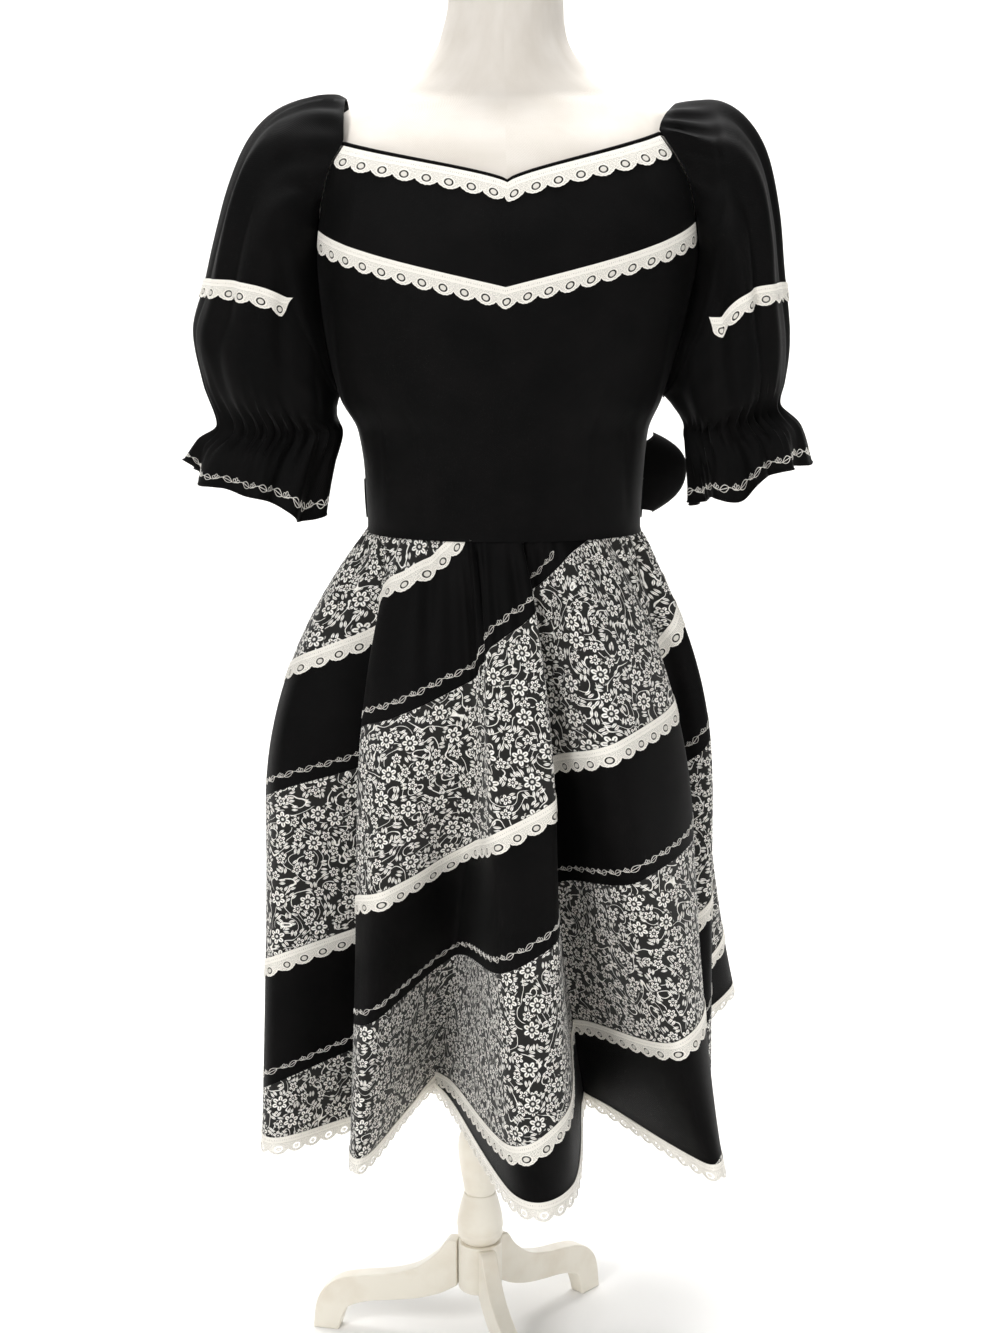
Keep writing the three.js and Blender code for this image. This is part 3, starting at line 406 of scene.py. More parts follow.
def cottonLace():
    # Machine-made cotton lace: a close tape above, then a row of scallops of fine net, each with
    # a thick ring round a hole. The tape gives a clear white line, the net a greyer edge.
    look = {
        "thread": "#f4f0e7", "pitchMm": 20, "tapeMm": 6.0, "ringUpMm": 12.8, "ringMm": 4.0, "netMm": 1.1,
    }
    material, tree, surface = newMaterial("scalloped cotton lace")
    uv = addNode(tree, "UVMap", {"uv_map": "cloth"}, {})
    parts = addNode(tree, "SeparateXYZ", {}, {0: uv})
    turns = addNode(tree, "Math", {"operation": "DIVIDE", 1: look["pitchMm"]}, {0: parts})
    within = addNode(tree, "Math", {"operation": "FRACT"}, {0: turns})
    centred = addNode(tree, "Math", {"operation": "SUBTRACT", 1: 0.5}, {0: within})
    across = addNode(tree, "Math", {"operation": "MULTIPLY", 1: look["pitchMm"] * 0.8}, {0: centred})
    down = addNode(tree, "Math", {"operation": "SUBTRACT", 1: look["ringUpMm"]}, {0: parts.outputs[1]})
    far = addNode(tree, "CombineXYZ", {}, {0: across, 1: down})
    radius = addNode(tree, "VectorMath", {"operation": "LENGTH"}, {0: far})
    fromRing = addNode(
        tree, "Math", {"operation": "SUBTRACT", 1: look["ringMm"]}, {0: radius.outputs["Value"]},
    )
    ringAway = addNode(tree, "Math", {"operation": "ABSOLUTE"}, {0: fromRing})
    ring = addNode(tree, "MapRange", {"From Min": 0.75, "From Max": 0.35}, {0: ringAway})
    dot = addNode(
        tree, "MapRange", {"From Min": 2.5, "From Max": 1.9, "To Max": 0.7}, {0: radius.outputs["Value"]},
    )
    hole = addNode(
        tree, "Math", {"operation": "GREATER_THAN", 1: look["ringMm"] - 0.3},
        {0: radius.outputs["Value"]},
    )
    knots = addNode(
        tree, "TexVoronoi", {"voronoi_dimensions": "2D", "Scale": 1 / look["netMm"], "Randomness": 0.35},
        {"Vector": uv},
    )
    net = addNode(
        tree, "MapRange", {"From Min": 0.24, "From Max": 0.36, "To Min": 0.34},
        {0: knots.outputs["Distance"]},
    )
    netShown = addNode(tree, "Math", {"operation": "MULTIPLY"}, {0: net, 1: hole})
    rim = addNode(tree, "Attribute", {"attribute_name": "rim"}, {})
    edge = addNode(tree, "Math", {"operation": "LESS_THAN", 1: 1.1}, {0: rim.outputs["Fac"]})
    tapeEdge = addNode(tree, "Math", {"operation": "LESS_THAN", 1: look["tapeMm"]}, {0: parts.outputs[1]})
    ladder = addNode(tree, "Math", {"operation": "PINGPONG", 1: 1.0}, {0: parts})
    ladderRow = addNode(tree, "Math", {"operation": "COMPARE", 1: 3.4, 2: 0.9}, {0: parts.outputs[1]})
    ladderHole = addNode(tree, "Math", {"operation": "LESS_THAN", 1: 0.4}, {0: ladder})
    pricks = addNode(tree, "Math", {"operation": "MULTIPLY"}, {0: ladderRow, 1: ladderHole})
    close = addNode(tree, "Math", {"operation": "SUBTRACT"}, {0: tapeEdge, 1: pricks})
    solid = ring
    for part in (dot, edge, close):
        solid = addNode(tree, "Math", {"operation": "MAXIMUM"}, {0: solid, 1: part})
    cover = addNode(tree, "Math", {"operation": "MAXIMUM"}, {0: solid, 1: netShown})
    threads = addNode(tree, "TexNoise", {"Scale": 1.6, "Detail": 3.0}, {"Vector": uv})
    raised = addNode(tree, "Math", {"operation": "MULTIPLY_ADD", 1: 0.8}, {0: threads, 2: solid})
    bump = addNode(tree, "Bump", {"Strength": 0.6, "Distance": 0.0005}, {"Height": raised})
    values = {"Base Color": linearColour(look["thread"]), "Roughness": 0.8, "Sheen Weight": 0.15}
    fillNode(tree, surface, values, {"Alpha": cover, "Normal": bump})
    return material


def rayonThread():
    # Rayon embroidery thread, twisted: off-white, with the soft gloss of laid stitches.
    material, tree, surface = newMaterial("rayon stitching")
    spot = addNode(tree, "TexCoord", {}, {})
    twist = addNode(
        tree, "TexWave", {"Scale": 900.0, "Distortion": 2.0}, {"Vector": spot.outputs["Object"]},
    )
    bump = addNode(tree, "Bump", {"Strength": 0.4, "Distance": 0.0002}, {"Height": twist.outputs["Fac"]})
    values = {"Base Color": linearColour("#e2dfd8"), "Roughness": 0.42, "Sheen Weight": 0.2}
    fillNode(tree, surface, values, {"Normal": bump})
    return material


def linenCover():
    # The form's stretched cover, a close off-white weave: even and matt, slightly warm.
    look = {"light": "#e2dcd4", "dull": "#d6cfc5", "threadMm": 0.8}
    material, tree, surface = newMaterial("off-white linen cover")
    uv = addWeave(tree, surface, look["threadMm"], 0.3, 0.8)
    patches = addNode(tree, "TexNoise", {"Scale": 0.02, "Detail": 5.0}, {"Vector": uv})
    tone = addNode(tree, "ValToRGB", {}, {0: patches})
    for stop, at, code in zip(tone.color_ramp.elements, (0.3, 0.7), (look["dull"], look["light"])):
        stop.position = at
        stop.color = linearColour(code)
    fillNode(tree, surface, {"Roughness": 0.88, "Sheen Weight": 0.1}, {"Base Color": tone})
    return material


def paintedWood():
    # Turned and sawn pine under brushed cream paint: satin, with faint brush lines along the
    # grain and slightly darker, thinner paint in places.
    look = {"paint": "#efe9db", "thin": "#e5dccb", "roughness": 0.36}
    material, tree, surface = newMaterial("cream painted wood")
    spot = addNode(tree, "TexCoord", {}, {})
    along = addNode(tree, "Mapping", {"Scale": (1.0, 1.0, 0.06)}, {"Vector": spot.outputs["Object"]})
    brush = addNode(tree, "TexNoise", {"Scale": 420.0, "Detail": 4.0}, {"Vector": along})
    patches = addNode(
        tree, "TexNoise", {"Scale": 22.0, "Detail": 6.0}, {"Vector": spot.outputs["Object"]},
    )
    tone = addNode(tree, "ValToRGB", {}, {0: patches})
    for stop, at, code in zip(tone.color_ramp.elements, (0.28, 0.5), (look["thin"], look["paint"])):
        stop.position = at
        stop.color = linearColour(code)
    bump = addNode(tree, "Bump", {"Strength": 0.12, "Distance": 0.0006}, {"Height": brush})
    values = {"Roughness": look["roughness"], "Coat Weight": 0.15}
    fillNode(tree, surface, values, {"Base Color": tone, "Normal": bump})
    return material


# Each finish is a material and the slot that it fills.
blackCloth = (blackPoplin(), "black_cloth")
printCloth = (floralPrint(), "print_cloth")
laceCloth = (cottonLace(), "lace")
stitching = (rayonThread(), "lace")
formCover = (linenCover(), "linen")
woodPaint = (paintedWood(), "painted_wood")
print("materials ready")

# Camera: at chest height, looking a little down, as the photo was taken
view = {"out": 2038, "up": 1121, "downDegrees": 10.75, "lensMm": 56}
cameraData = bpy.data.cameras.new("camera")
cameraData.lens = view["lensMm"]
cameraData.sensor_width = 36
camera = bpy.data.objects.new("camera", cameraData)
camera.location = ((place(0, view["out"], view["up"]) + shift) / 1000).tolist()
camera.rotation_euler = (math.radians(90 - view["downDegrees"]), 0, 0)
bpy.context.scene.collection.objects.link(camera)
bpy.context.scene.camera = camera

# Skirt: eight folds and the valleys between them, at the hem and half way down
skirt = {
    "waistUp": 873, "length": 625, "midAt": 0.45, "swellPower": 2.1, "evenWaist": 0.5, "evenShift": 8,
    "foldFrom": 0.2, "foldPower": 1.5, "pitch": 915, "printHigh": 169, "blackHigh": 136,
    "columnsPerTurn": 16, "rowMm": 6, "creaseScale": 1.35, "gatherMm": 2.7, "fineGatherMm": 1.0,
    "rippleMm": 1.4,
}
waistRing = {"centre": 4, "half": 133, "front": 97, "back": 93}
# Turn, facing, reach, half width and lift at the hem, cloth used up, then turn, reach, half width mid
foldRows = [
    (-84, -84, 236, 28, 0, -0.305, -0.276, -85, 226, 38),
    (-100, -70, 122, 10, 0, -0.245, -0.222, -59, 148, 9),
    (-61, -61, 168, 16, 0, -0.195, -0.178, -44, 178, 24),
    (-130, -15, 98, 12, 6, -0.15, -0.132, -12, 150, 14),
    (12, 18, 178, 29, 0, -0.104, -0.074, 5.5, 166, 25), (111, 25, 98, 9, 6, -0.054, -0.04, 19, 124, 8),
    (66, 66, 226, 20, 0, -0.014, 0.012, 50, 186, 54), (86, 80, 158, 8, 0, 0.045, 0.065, 77, 168, 10),
    (99, 99, 214, 20, 10, 0.1, 0.15, 94, 205, 32), (108, 108, 140, 12, 30, 0.195, 0.22, 112, 172, 14),
    (129, 129, 302, 30, 85, 0.27, 0.325, 129, 232, 40),
    (148, 148, 140, 16, 65, 0.365, 0.39, 148, 174, 18),
    (171, 171, 286, 34, 62, 0.435, 0.49, 171, 220, 40),
    (194, 194, 132, 16, 50, 0.525, 0.55, 194, 168, 18),
    (222, 222, 272, 34, 30, 0.59, 0.635, 221, 222, 40),
    (249, 249, 134, 16, 15, 0.657, 0.675, 247, 172, 18),
]
# Soft creases down the skirt: cloth share, start and end down, half width, height, lean
skirtCreases = [
    (-0.166, -60, 150, 0.0042, -4.2, 0.002), (-0.141, -50, 210, 0.0045, -4.8, -0.002),
    (-0.118, -60, 130, 0.004, -4.4, 0.0), (-0.099, -40, 240, 0.0045, -4.6, 0.003),
    (-0.081, -60, 120, 0.004, -4.2, -0.002), (-0.060, -50, 180, 0.0045, -4.4, 0.002),
    (-0.300, -60, 330, 0.007, 2.4, 0.006), (-0.268, -90, 240, 0.006, -2.2, 0.0),
    (-0.243, -40, 420, 0.008, -3.0, 0.004), (-0.214, -70, 300, 0.006, 2.6, -0.005),
    (-0.192, 120, 560, 0.007, -2.2, 0.004), (-0.170, -50, 380, 0.008, 2.8, 0.006),
    (-0.150, -80, 260, 0.005, -2.6, 0.0), (-0.128, -60, 440, 0.007, 2.6, -0.004),
    (-0.108, -40, 210, 0.005, -2.4, 0.003), (-0.089, 160, 680, 0.008, -2.6, 0.006),
    (-0.072, -70, 350, 0.006, 2.6, 0.0), (-0.049, -50, 260, 0.005, -3.0, -0.003),
    (-0.026, -60, 470, 0.008, 2.4, 0.004), (-0.004, 80, 640, 0.008, -3.2, -0.010),
    (0.018, -70, 300, 0.006, -2.2, 0.004), (0.041, -40, 240, 0.006, 2.4, 0.0),
    (0.072, -60, 360, 0.008, -2.8, 0.006), (0.104, -50, 250, 0.007, 2.6, 0.0),
    (0.129, 140, 660, 0.010, -2.8, 0.006), (0.163, -60, 330, 0.008, -2.6, 0.0),
    (0.192, -40, 430, 0.009, 2.8, -0.006), (0.231, -70, 270, 0.007, -2.4, 0.004),
    (0.264, -50, 390, 0.010, 3.0, 0.0), (0.298, 150, 680, 0.011, -3.0, 0.008),
    (0.331, -60, 310, 0.008, -2.6, 0.0), (0.368, -40, 240, 0.008, 2.4, 0.004),
    (0.402, -70, 420, 0.009, -2.8, -0.006), (0.438, -50, 280, 0.008, 2.6, 0.0),
    (0.463, 130, 670, 0.011, -3.0, -0.008), (0.497, -60, 350, 0.009, -2.6, 0.004),
    (0.536, -40, 250, 0.008, 2.6, 0.0), (0.571, -70, 430, 0.010, -2.8, 0.005),
    (0.606, -50, 300, 0.008, 2.6, 0.0), (0.629, 160, 650, 0.010, -2.8, -0.006),
    (0.652, -60, 260, 0.007, -2.4, 0.0), (0.682, -40, 380, 0.008, 2.6, 0.004),
]

controls = []
for turn, face, reach, half, lift, clothFrom, clothTo, midTurn, midReach, midHalf in foldRows:
    for side, cloth in ((-1, clothFrom), (1, clothTo)):
        ends = []
        for a, far, facing, wide in ((turn, reach, face, half), (midTurn, midReach, midTurn, midHalf)):
            a, facing = math.radians(a), math.radians(facing)
            ends.append((
                waistRing["centre"] + far * math.sin(a) + side * wide * math.cos(facing),
                far * math.cos(a) - side * wide * math.sin(facing),
            ))
        controls.append((*ends[0], *ends[1], lift, cloth))
controls = np.array(controls)
count = len(controls)
midTurns = np.degrees(np.unwrap(np.arctan2(controls[:, 2] - waistRing["centre"], controls[:, 3])))


def ringSpline(values, w, lap=0.0):
    k = np.floor(w).astype(int)
    t = w - k
    a, b, c, d = [values[(k + s) % count] + lap * ((k + s) // count) for s in (-1, 0, 1, 2)]
    return throughPoints(a, b, c, d, t)


def clothAt(w):
    return ringSpline(controls[:, 5], w, 1.0)


def waistTurn(w):
    even = midTurns[0] + skirt["evenShift"] + 360 * (clothAt(w) - controls[0, 5])
    return (1 - skirt["evenWaist"]) * ringSpline(midTurns, w, 360.0) + skirt["evenWaist"] * even


wTable = np.linspace(-2 * count, 2 * count, 16001)
clothTable = np.maximum.accumulate(clothAt(wTable))


def columnAt(cloth):
    return np.interp(cloth, clothTable, wTable)


def skirtPlain(w, down):
    reach = down / skirt["length"]
    turn = np.radians(waistTurn(w))
    depth = np.where(np.cos(turn) > 0, waistRing["front"], waistRing["back"])
    topX = waistRing["centre"] + waistRing["half"] * np.sin(turn)
    topY = depth * np.cos(turn)
    swell = 1 - np.maximum(1 - reach / skirt["midAt"], 0) ** skirt["swellPower"]
    fold = np.maximum((reach - skirt["foldFrom"]) / (1 - skirt["foldFrom"]), 0) ** skirt["foldPower"]
    midX, midY = ringSpline(controls[:, 2], w), ringSpline(controls[:, 3], w)
    hemX, hemY = ringSpline(controls[:, 0], w), ringSpline(controls[:, 1], w)
    x = topX + (midX - topX) * swell + (hemX - midX) * fold
    y = topY + (midY - topY) * swell + (hemY - midY) * fold
    return place(x, y, skirt["waistUp"] - down + ringSpline(controls[:, 4], w) * reach * reach)


def skirtSpots(w, down):
    w, down = np.broadcast_arrays(np.asarray(w, float), np.asarray(down, float))
    along = skirtPlain(w + 0.04, down) - skirtPlain(w - 0.04, down)
    fall = skirtPlain(w, down + 3) - skirtPlain(w, down - 3)
    normals = unit(np.cross(fall, along))
    s = clothAt(w)
    fade = np.exp(-np.maximum(down, 0) / (46 + 20 * waver(37 * s, 0.4)))
    gathers = skirt["gatherMm"] * np.sin(2 * math.pi * (38 * s + 0.3 * np.sin(2 * math.pi * 9 * s)))
    fine = np.sin(2 * math.pi * (79 * s + 0.4 * np.sin(2 * math.pi * 5 * s)))
    gathers = gathers + skirt["fineGatherMm"] * fine
    nearHem = np.clip(down / skirt["length"], 0, 1) ** 4
    ripple = skirt["rippleMm"] * waver(2 * math.pi * 13 * s, 1.3) * nearHem
    height = skirt["creaseScale"] * creaseHeight(skirtCreases, s, down, 1.0) + gathers * fade + ripple
    ease = np.clip(down / 12, 0, 1)
    return skirtPlain(w, down) + (height * (0.35 + 0.65 * ease))[..., None] * normals, normals


def bandPiece(name, start, high, finish):
    # One spiral band from the waist to the hem; its print follows the cloth laid flat.
    low, top = start - skirt["length"] / skirt["pitch"], start + high / skirt["pitch"]
    wLow, wHigh = columnAt(low), columnAt(top)
    w = np.linspace(wLow, wHigh, int((wHigh - wLow) * skirt["columnsPerTurn"]))
    s = clothAt(w)
    edge = skirt["pitch"] * (start - s) + 0.15
    upper = np.clip(edge, 0.3, skirt["length"])
    lower = np.clip(edge + high - 0.3, 0.3, skirt["length"])
    t = np.linspace(0, 1, int(high / skirt["rowMm"]) + 1)[:, None]
    down = upper + (lower - upper) * t
    points, normals = skirtSpots(w[None, :], down)
    middle = points[len(t) // 2].copy()
    middle[:, 2] = 0
    across = np.broadcast_to(arcLength(middle), down.shape)
    uv = np.stack([across, down], -1)
    return clothShell(name, points, normals, wall["cloth"], uv, finish, weld=True)


def edgeRun(start, lowDown, highDown):
    # A run down the edge of a band: where it lies, by its length on the cloth.
    s = np.linspace(start - lowDown / skirt["pitch"], start - highDown / skirt["pitch"], 5000)
    w = columnAt(s)
    points, _ = skirtSpots(w, skirt["pitch"] * (start - s))
    return arcLength(points), w


def edgeSpots(start, run, length, across, lowest):
    # Points on the skirt beside a band's edge, square to it.
    w = np.interp(length, run[0], run[1])
    s = clothAt(w)
    down = skirt["pitch"] * (start - s)
    pace = np.linalg.norm(skirtPlain(w + 0.05, down) - skirtPlain(w - 0.05, down), axis=-1) / 0.1
    slope = np.arctan2(skirt["pitch"] * (clothAt(w + 0.05) - clothAt(w - 0.05)) / 0.1, pace)
    w = w + across * np.sin(slope) / np.maximum(pace, 45)
    down = np.clip(down + across * np.cos(slope), 0.8, lowest)
    return skirtSpots(w, down)


# Lace and stitching
laceCut = {"pitchMm": 20, "stepMm": 1.25, "tapeMm": 9.2, "wideMm": 19, "rows": 7}
stitchCut = {"repeatMm": 20, "threadMm": 0.3, "raised": 0.4, "clear": 0.08, "above": 13}


def laceGrid(total):
    # Along and across places for a run of lace with scalloped lower edge.
    lobes = max(1, round(total / laceCut["pitchMm"]))
    pitch = total / lobes
    steps = int(round(total / laceCut["stepMm"]))
    along = np.linspace(0, total, steps + 1)
    phase = (along / pitch) % 1
    lobe = np.abs(np.sin(math.pi * phase)) ** 0.62
    picot = 0.45 * np.abs(np.sin(5 * math.pi * phase))
    edge = laceCut["tapeMm"] + 4.2 + (laceCut["wideMm"] - laceCut["tapeMm"] - 4.7) * lobe + picot
    share = np.linspace(0, 1, laceCut["rows"])[:, None]
    across = share * edge
    uv = np.stack([np.broadcast_to(along / pitch * laceCut["pitchMm"], across.shape), across], -1)
    return along, across, uv, edge - across


def laceRun(name, total, spots, lift=0.0):
    along, across, uv, rim = laceGrid(total)
    points, normals = spots(np.broadcast_to(along, across.shape), across)
    ripple = 0.25 * waver(0.35 * along, 2.0)[None, :] * (across / laceCut["wideMm"])
    points = points + (lift + ripple)[..., None] * normals
    piece = clothShell(name, points, normals, wall["lace"], uv, laceCloth, rim=rim)
    return piece


def vineLines():
    # One repeat of the stitched vine: a slanted leaf with a middle vein, a stem and a three-leaf sprig.
    lines = [
        np.array([(10.6, 1.3), (12.4, 1.5), (14.4, 0.9)]),
        np.array([(14.4, 0.9), (17.6, -0.6), (20.8, -1.3)]),
    ]
    t = np.linspace(0, 1, 11)
    for bulge in (-2.7, 0.0, 2.7):
        lines.append(np.stack([0.9 + 9.7 * t, bulge * np.sin(math.pi * t) + 2.6 * (t - 0.5)], 1))
    for angle, long in ((90, 4.4), (40, 4.0), (140, 4.0)):
        a = math.radians(angle)
        loop = np.linspace(0, math.pi, 7)
        ahead, aside = long * np.sin(loop), 1.15 * np.sin(2 * loop)
        x = 14.4 + math.cos(a) * ahead - math.sin(a) * aside
        y = 1.0 - math.sin(a) * ahead - math.cos(a) * aside
        lines.append(np.stack([x, y], 1))
    return lines


def stitchRun(name, total, spots, start=4.0):
    # Raised threads laid on the cloth, repeat after repeat.
    sheets, faces, base = [], [], 0
    repeats = int((total - 2 * start) // stitchCut["repeatMm"])
    lines = vineLines()
    for r in range(repeats):
        for line in lines:
            way = np.gradient(line, axis=0)
            way = way / np.maximum(np.linalg.norm(way, axis=1, keepdims=True), 1e-6)
            aside = np.stack([-way[:, 1], way[:, 0]], 1) * stitchCut["threadMm"]
            trio = np.stack([line - aside, line, line + aside], 1)
            trio[..., 0] += start + r * stitchCut["repeatMm"]
            sheets.append(trio.reshape(-1, 2))
            n = len(line)
            for k in range(n - 1):
                for side in (0, 1):
                    a = base + 3 * k + side
                    faces.append((a, a + 1, a + 4, a + 3))
            base += 3 * n
    flat = np.concatenate(sheets)
    points, normals = spots(flat[:, 0], flat[:, 1])
    lift = np.where(np.arange(len(flat)) % 3 == 1, stitchCut["raised"], 0.0)
    lift = lift + wall["cloth"][0] + stitchCut["clear"]
    points = points + lift[:, None] * normals
    quads = np.array(faces)
    if np.sum(quadFacing(points, quads) * normals[quads[:, 0]]) < 0:
        quads = quads[:, ::-1]
    return addPiece(name, points, quads.tolist(), None, stitching)


thirds = [-1 / 3, 0.0, 1 / 3]
for k, start in enumerate(thirds, 1):
    blackStart = start + skirt["printHigh"] / skirt["pitch"]
    name = f"skirt_print_{k}_cloth"
    bandPiece(name, start, skirt["printHigh"], printCloth)
    name = f"skirt_black_{k}_cloth"
    bandPiece(name, blackStart, skirt["blackHigh"], blackCloth)
    run = edgeRun(blackStart, -26, 616)
    name = f"skirt_lace_{k}_trim"
    laceRun(
        name, run[0][-1], lambda l, o, a=blackStart, r=run: edgeSpots(a, r, l, o, 616.4),
    )
    run = edgeRun(start, 18, 606)
    name = f"skirt_vine_{k}"
    stitchRun(
        name, run[0][-1], lambda l, o, a=start, r=run: edgeSpots(a, r, l, o - stitchCut["above"], 616),
    )
hemW = np.linspace(0, count, 6001)
hemRun = (arcLength(skirtSpots(hemW, skirt["length"])[0]), hemW)


def hemSpots(length, across):
    w = np.interp(length, hemRun[0], hemRun[1])
    return skirtSpots(w, skirt["length"] - 8 + across)


laceRun(
    "hem_lace_trim", hemRun[0][-1], hemSpots,
)
print("skirt done")

# Bodice: level sections, as half width, middle, depth in front and behind, and how square
bodiceSections = [
    (873, 133, 4, 97, 93, 2.1), (930, 136, 4, 102, 98, 2.1), (970, 141, 3, 108, 101, 2.1),
    (1002, 156, 1, 114, 104, 2.2), (1085, 176, 4, 122, 108, 2.3), (1145, 184, 7, 117, 110, 2.4),
    (1190, 182, 7, 105, 106, 2.4), (1240, 175, 5, 85, 92, 2.4), (1262, 166, 5, 67, 78, 2.3),
]
armholeEdge = [
    (1002, 89.9), (1050, 84), (1100, 79), (1150, 75.5), (1190, 70), (1217, 64), (1240, 55.5),
    (1255, 51),
]
bodice = {
    "low": 871.8, "underarmUp": 1002, "neckEdge": 3, "laceEnds": 0.975, "columns": 120, "rows": 84,
    "bindingMm": 1.5, "seamMm": 1.6, "lapMm": 0.6, "lapStepMm": 0.12,
}
neckline = {"point": 1204, "left": 1240, "right": 1249, "back": 1232, "power": 0.6}
yoke = {"point": 1108, "left": 1161, "right": 1169, "power": 0.85}
# Creases of the bodice: turn from the front in degrees, start and end up, half width, height, lean
bodiceCreases = [
    (-33, 878, 1062, 1.3, -1.2, -3), (33, 878, 1062, 1.3, -1.2, 3), (-58, 880, 1010, 3.5, 1.3, 10),
    (-20, 876, 960, 3.0, -1.0, -5), (8, 876, 945, 3.2, 1.0, 4), (21, 880, 990, 3.0, 1.1, -6),
    (62, 884, 1020, 3.6, -1.4, -10), (-76, 940, 1100, 4.0, 1.6, 16), (74, 950, 1110, 4.2, 1.5, -18),
    (-52, 1120, 1236, 3.5, 1.2, 8), (48, 1126, 1240, 3.4, 1.2, -9), (-12, 1000, 1100, 5.0, 0.8, 12),
    (15, 1010, 1096, 5.0, -0.8, -12), (110, 880, 1020, 4.0, 1.4, -9), (-112, 884, 1010, 4.2, -1.4, 10),
    (138, 930, 1090, 4.0, -1.2, 9), (-140, 920, 1100, 4.2, 1.3, -8), (160, 1080, 1230, 3.6, 1.1, -8),
    (-158, 1070, 1225, 3.6, -1.2, 8), (152, 876, 950, 2.6, 1.2, 3), (-166, 876, 960, 2.6, 1.2, -3),
    (170, 890, 1000, 2.6, -1.2, 3),
]


def sectionReader(rows):
    table = np.array(rows, float)
    curves = [tableCurve(table[:, 0], table[:, k]) for k in range(1, 6)]

    def at(turn, up):
        half, centre, front, back, square = [curve(up) for curve in curves]
        a = np.radians(turn)
        depth = np.where(np.cos(a) > 0, front, back)
        across = np.sign(np.sin(a)) * np.abs(np.sin(a)) ** (2 / square)
        deep = np.sign(np.cos(a)) * np.abs(np.cos(a)) ** (2 / square)
        return place(centre + half * across, depth * deep, up)

    return at


bodiceAt = sectionReader(bodiceSections)
armholeTurn = tableCurve(*zip(*armholeEdge))


def edgeTurn(up):
    return np.where(up < bodice["underarmUp"], 89.9, armholeTurn(np.maximum(up, bodice["underarmUp"])))


def bodiceSpots(turn, up, creased=True):
    turn, up = np.broadcast_arrays(np.asarray(turn, float), np.asarray(up, float))
    along = bodiceAt(turn + 0.6, up) - bodiceAt(turn - 0.6, up)
    rise = bodiceAt(turn, up + 2) - bodiceAt(turn, up - 2)
    normals = unit(np.cross(along, rise))
    points = bodiceAt(turn, up)
    if creased:
        wrapped = (turn + 180) % 360 - 180
        points = points + creaseHeight(bodiceCreases, wrapped, up, 360)[..., None] * normals
    return points, normals


def neckUp(u):
    corner = np.where(u < 0, neckline["left"], neckline["right"])
    return neckline["point"] + (corner - neckline["point"]) * np.abs(u) ** neckline["power"]


def yokeUp(u):
    end = np.where(u < 0, yoke["left"], yoke["right"])
    return yoke["point"] + (end - yoke["point"]) * np.abs(u) ** yoke["power"]


def bodiceGrid(turns, tops):
    t = np.linspace(1, 0, bodice["rows"])[:, None]
    up = bodice["low"] + (tops[None, :] - bodice["low"]) * t
    turn = turns(up)
    points, normals = bodiceSpots(turn, up)
    seam = bodice["seamMm"] * np.exp(-(up - bodice["low"]) / 3)
    points = points + seam[..., None] * normals
    across = np.broadcast_to(arcLength(points[len(t) // 2]), up.shape)
    return points, normals, np.stack([across, bodice["underarmUp"] - up], -1)


u = np.linspace(-1, 1, bodice["columns"] + 1)
points, normals, uv = bodiceGrid(lambda up: u * edgeTurn(up), neckUp(u))
bodiceFront = clothShell("bodice_front_cloth", points, normals, wall["cloth"], uv, blackCloth)
for side, name in ((-1, "left"), (1, "right")):
    u = np.linspace(1, 0, bodice["columns"] // 2 + 1)
    tops = neckline["back"] + (neckline[name] - neckline["back"]) * u * u
    points, normals, uv = bodiceGrid(lambda up: side * (180.02 - u * (edgeTurn(up) + 0.02)), tops)
    # The lapped edges over the zip stand up a little along the seam.
    step = bodice["lapStepMm"] * side * np.exp(-((u / 0.01) ** 2))
    lap = bodice["lapMm"] * np.exp(-((u / 0.035) ** 2)) + step
    points = points + lap[None, :, None] * normals
    name = f"bodice_back_{name}_cloth"
    clothShell(name, points, normals, wall["cloth"], uv, blackCloth)


def cordPiece(name, centre, normals, radius, sides=8):
    # A thin rolled edge along a line of points.
    way = unit(np.gradient(centre, axis=0))
    aside = unit(np.cross(way, normals))
    turns = np.linspace(0, 2 * math.pi, sides, endpoint=False)
    rings = centre[:, None] + radius * (
        np.cos(turns)[None, :, None] * normals[:, None] + np.sin(turns)[None, :, None] * aside[:, None]
    )
    rows, faces = len(centre), []
    for i in range(rows - 1):
        for j in range(sides):
            n = (j + 1) % sides
            faces.append((i * sides + j, i * sides + n, (i + 1) * sides + n, (i + 1) * sides + j))
    faces.append(tuple(range(sides))[::-1])
    faces.append(tuple((rows - 1) * sides + j for j in range(sides)))
    length = arcLength(centre)
    uvs = [(length[index // sides], 3.0 * (index % sides)) for face in faces for index in face]
    return addPiece(name, rings.reshape(-1, 3), faces, uvs, blackCloth)


u = np.linspace(-1, 1, 161)
points, normals = bodiceSpots(u * edgeTurn(neckUp(u)), neckUp(u) - 0.8)
bindingFront = cordPiece("neckline_binding_front", points + 0.35 * normals, normals, bodice["bindingMm"])
u = np.linspace(-1, 1, 101)
sideUp = np.where(u < 0, neckline["right"], neckline["left"])
tops = neckline["back"] + (sideUp - neckline["back"]) * u * u
points, normals = bodiceSpots(180 + u * (180 - edgeTurn(tops)), tops - 0.8)
bindingBack = cordPiece("neckline_binding_back", points + 0.35 * normals, normals, bodice["bindingMm"])


def frontLaceRun(name, top, wide):
    u = np.linspace(-bodice["laceEnds"], bodice["laceEnds"], 3001)
    line, _ = bodiceSpots(u * edgeTurn(top(u)), top(u))
    lengths = arcLength(line)

    def spots(length, across):
        v = np.interp(length, lengths, u)
        up = top(v) - across * wide / laceCut["wideMm"]
        return bodiceSpots(v * edgeTurn(up), up)

    laceRun(name, lengths[-1], spots)


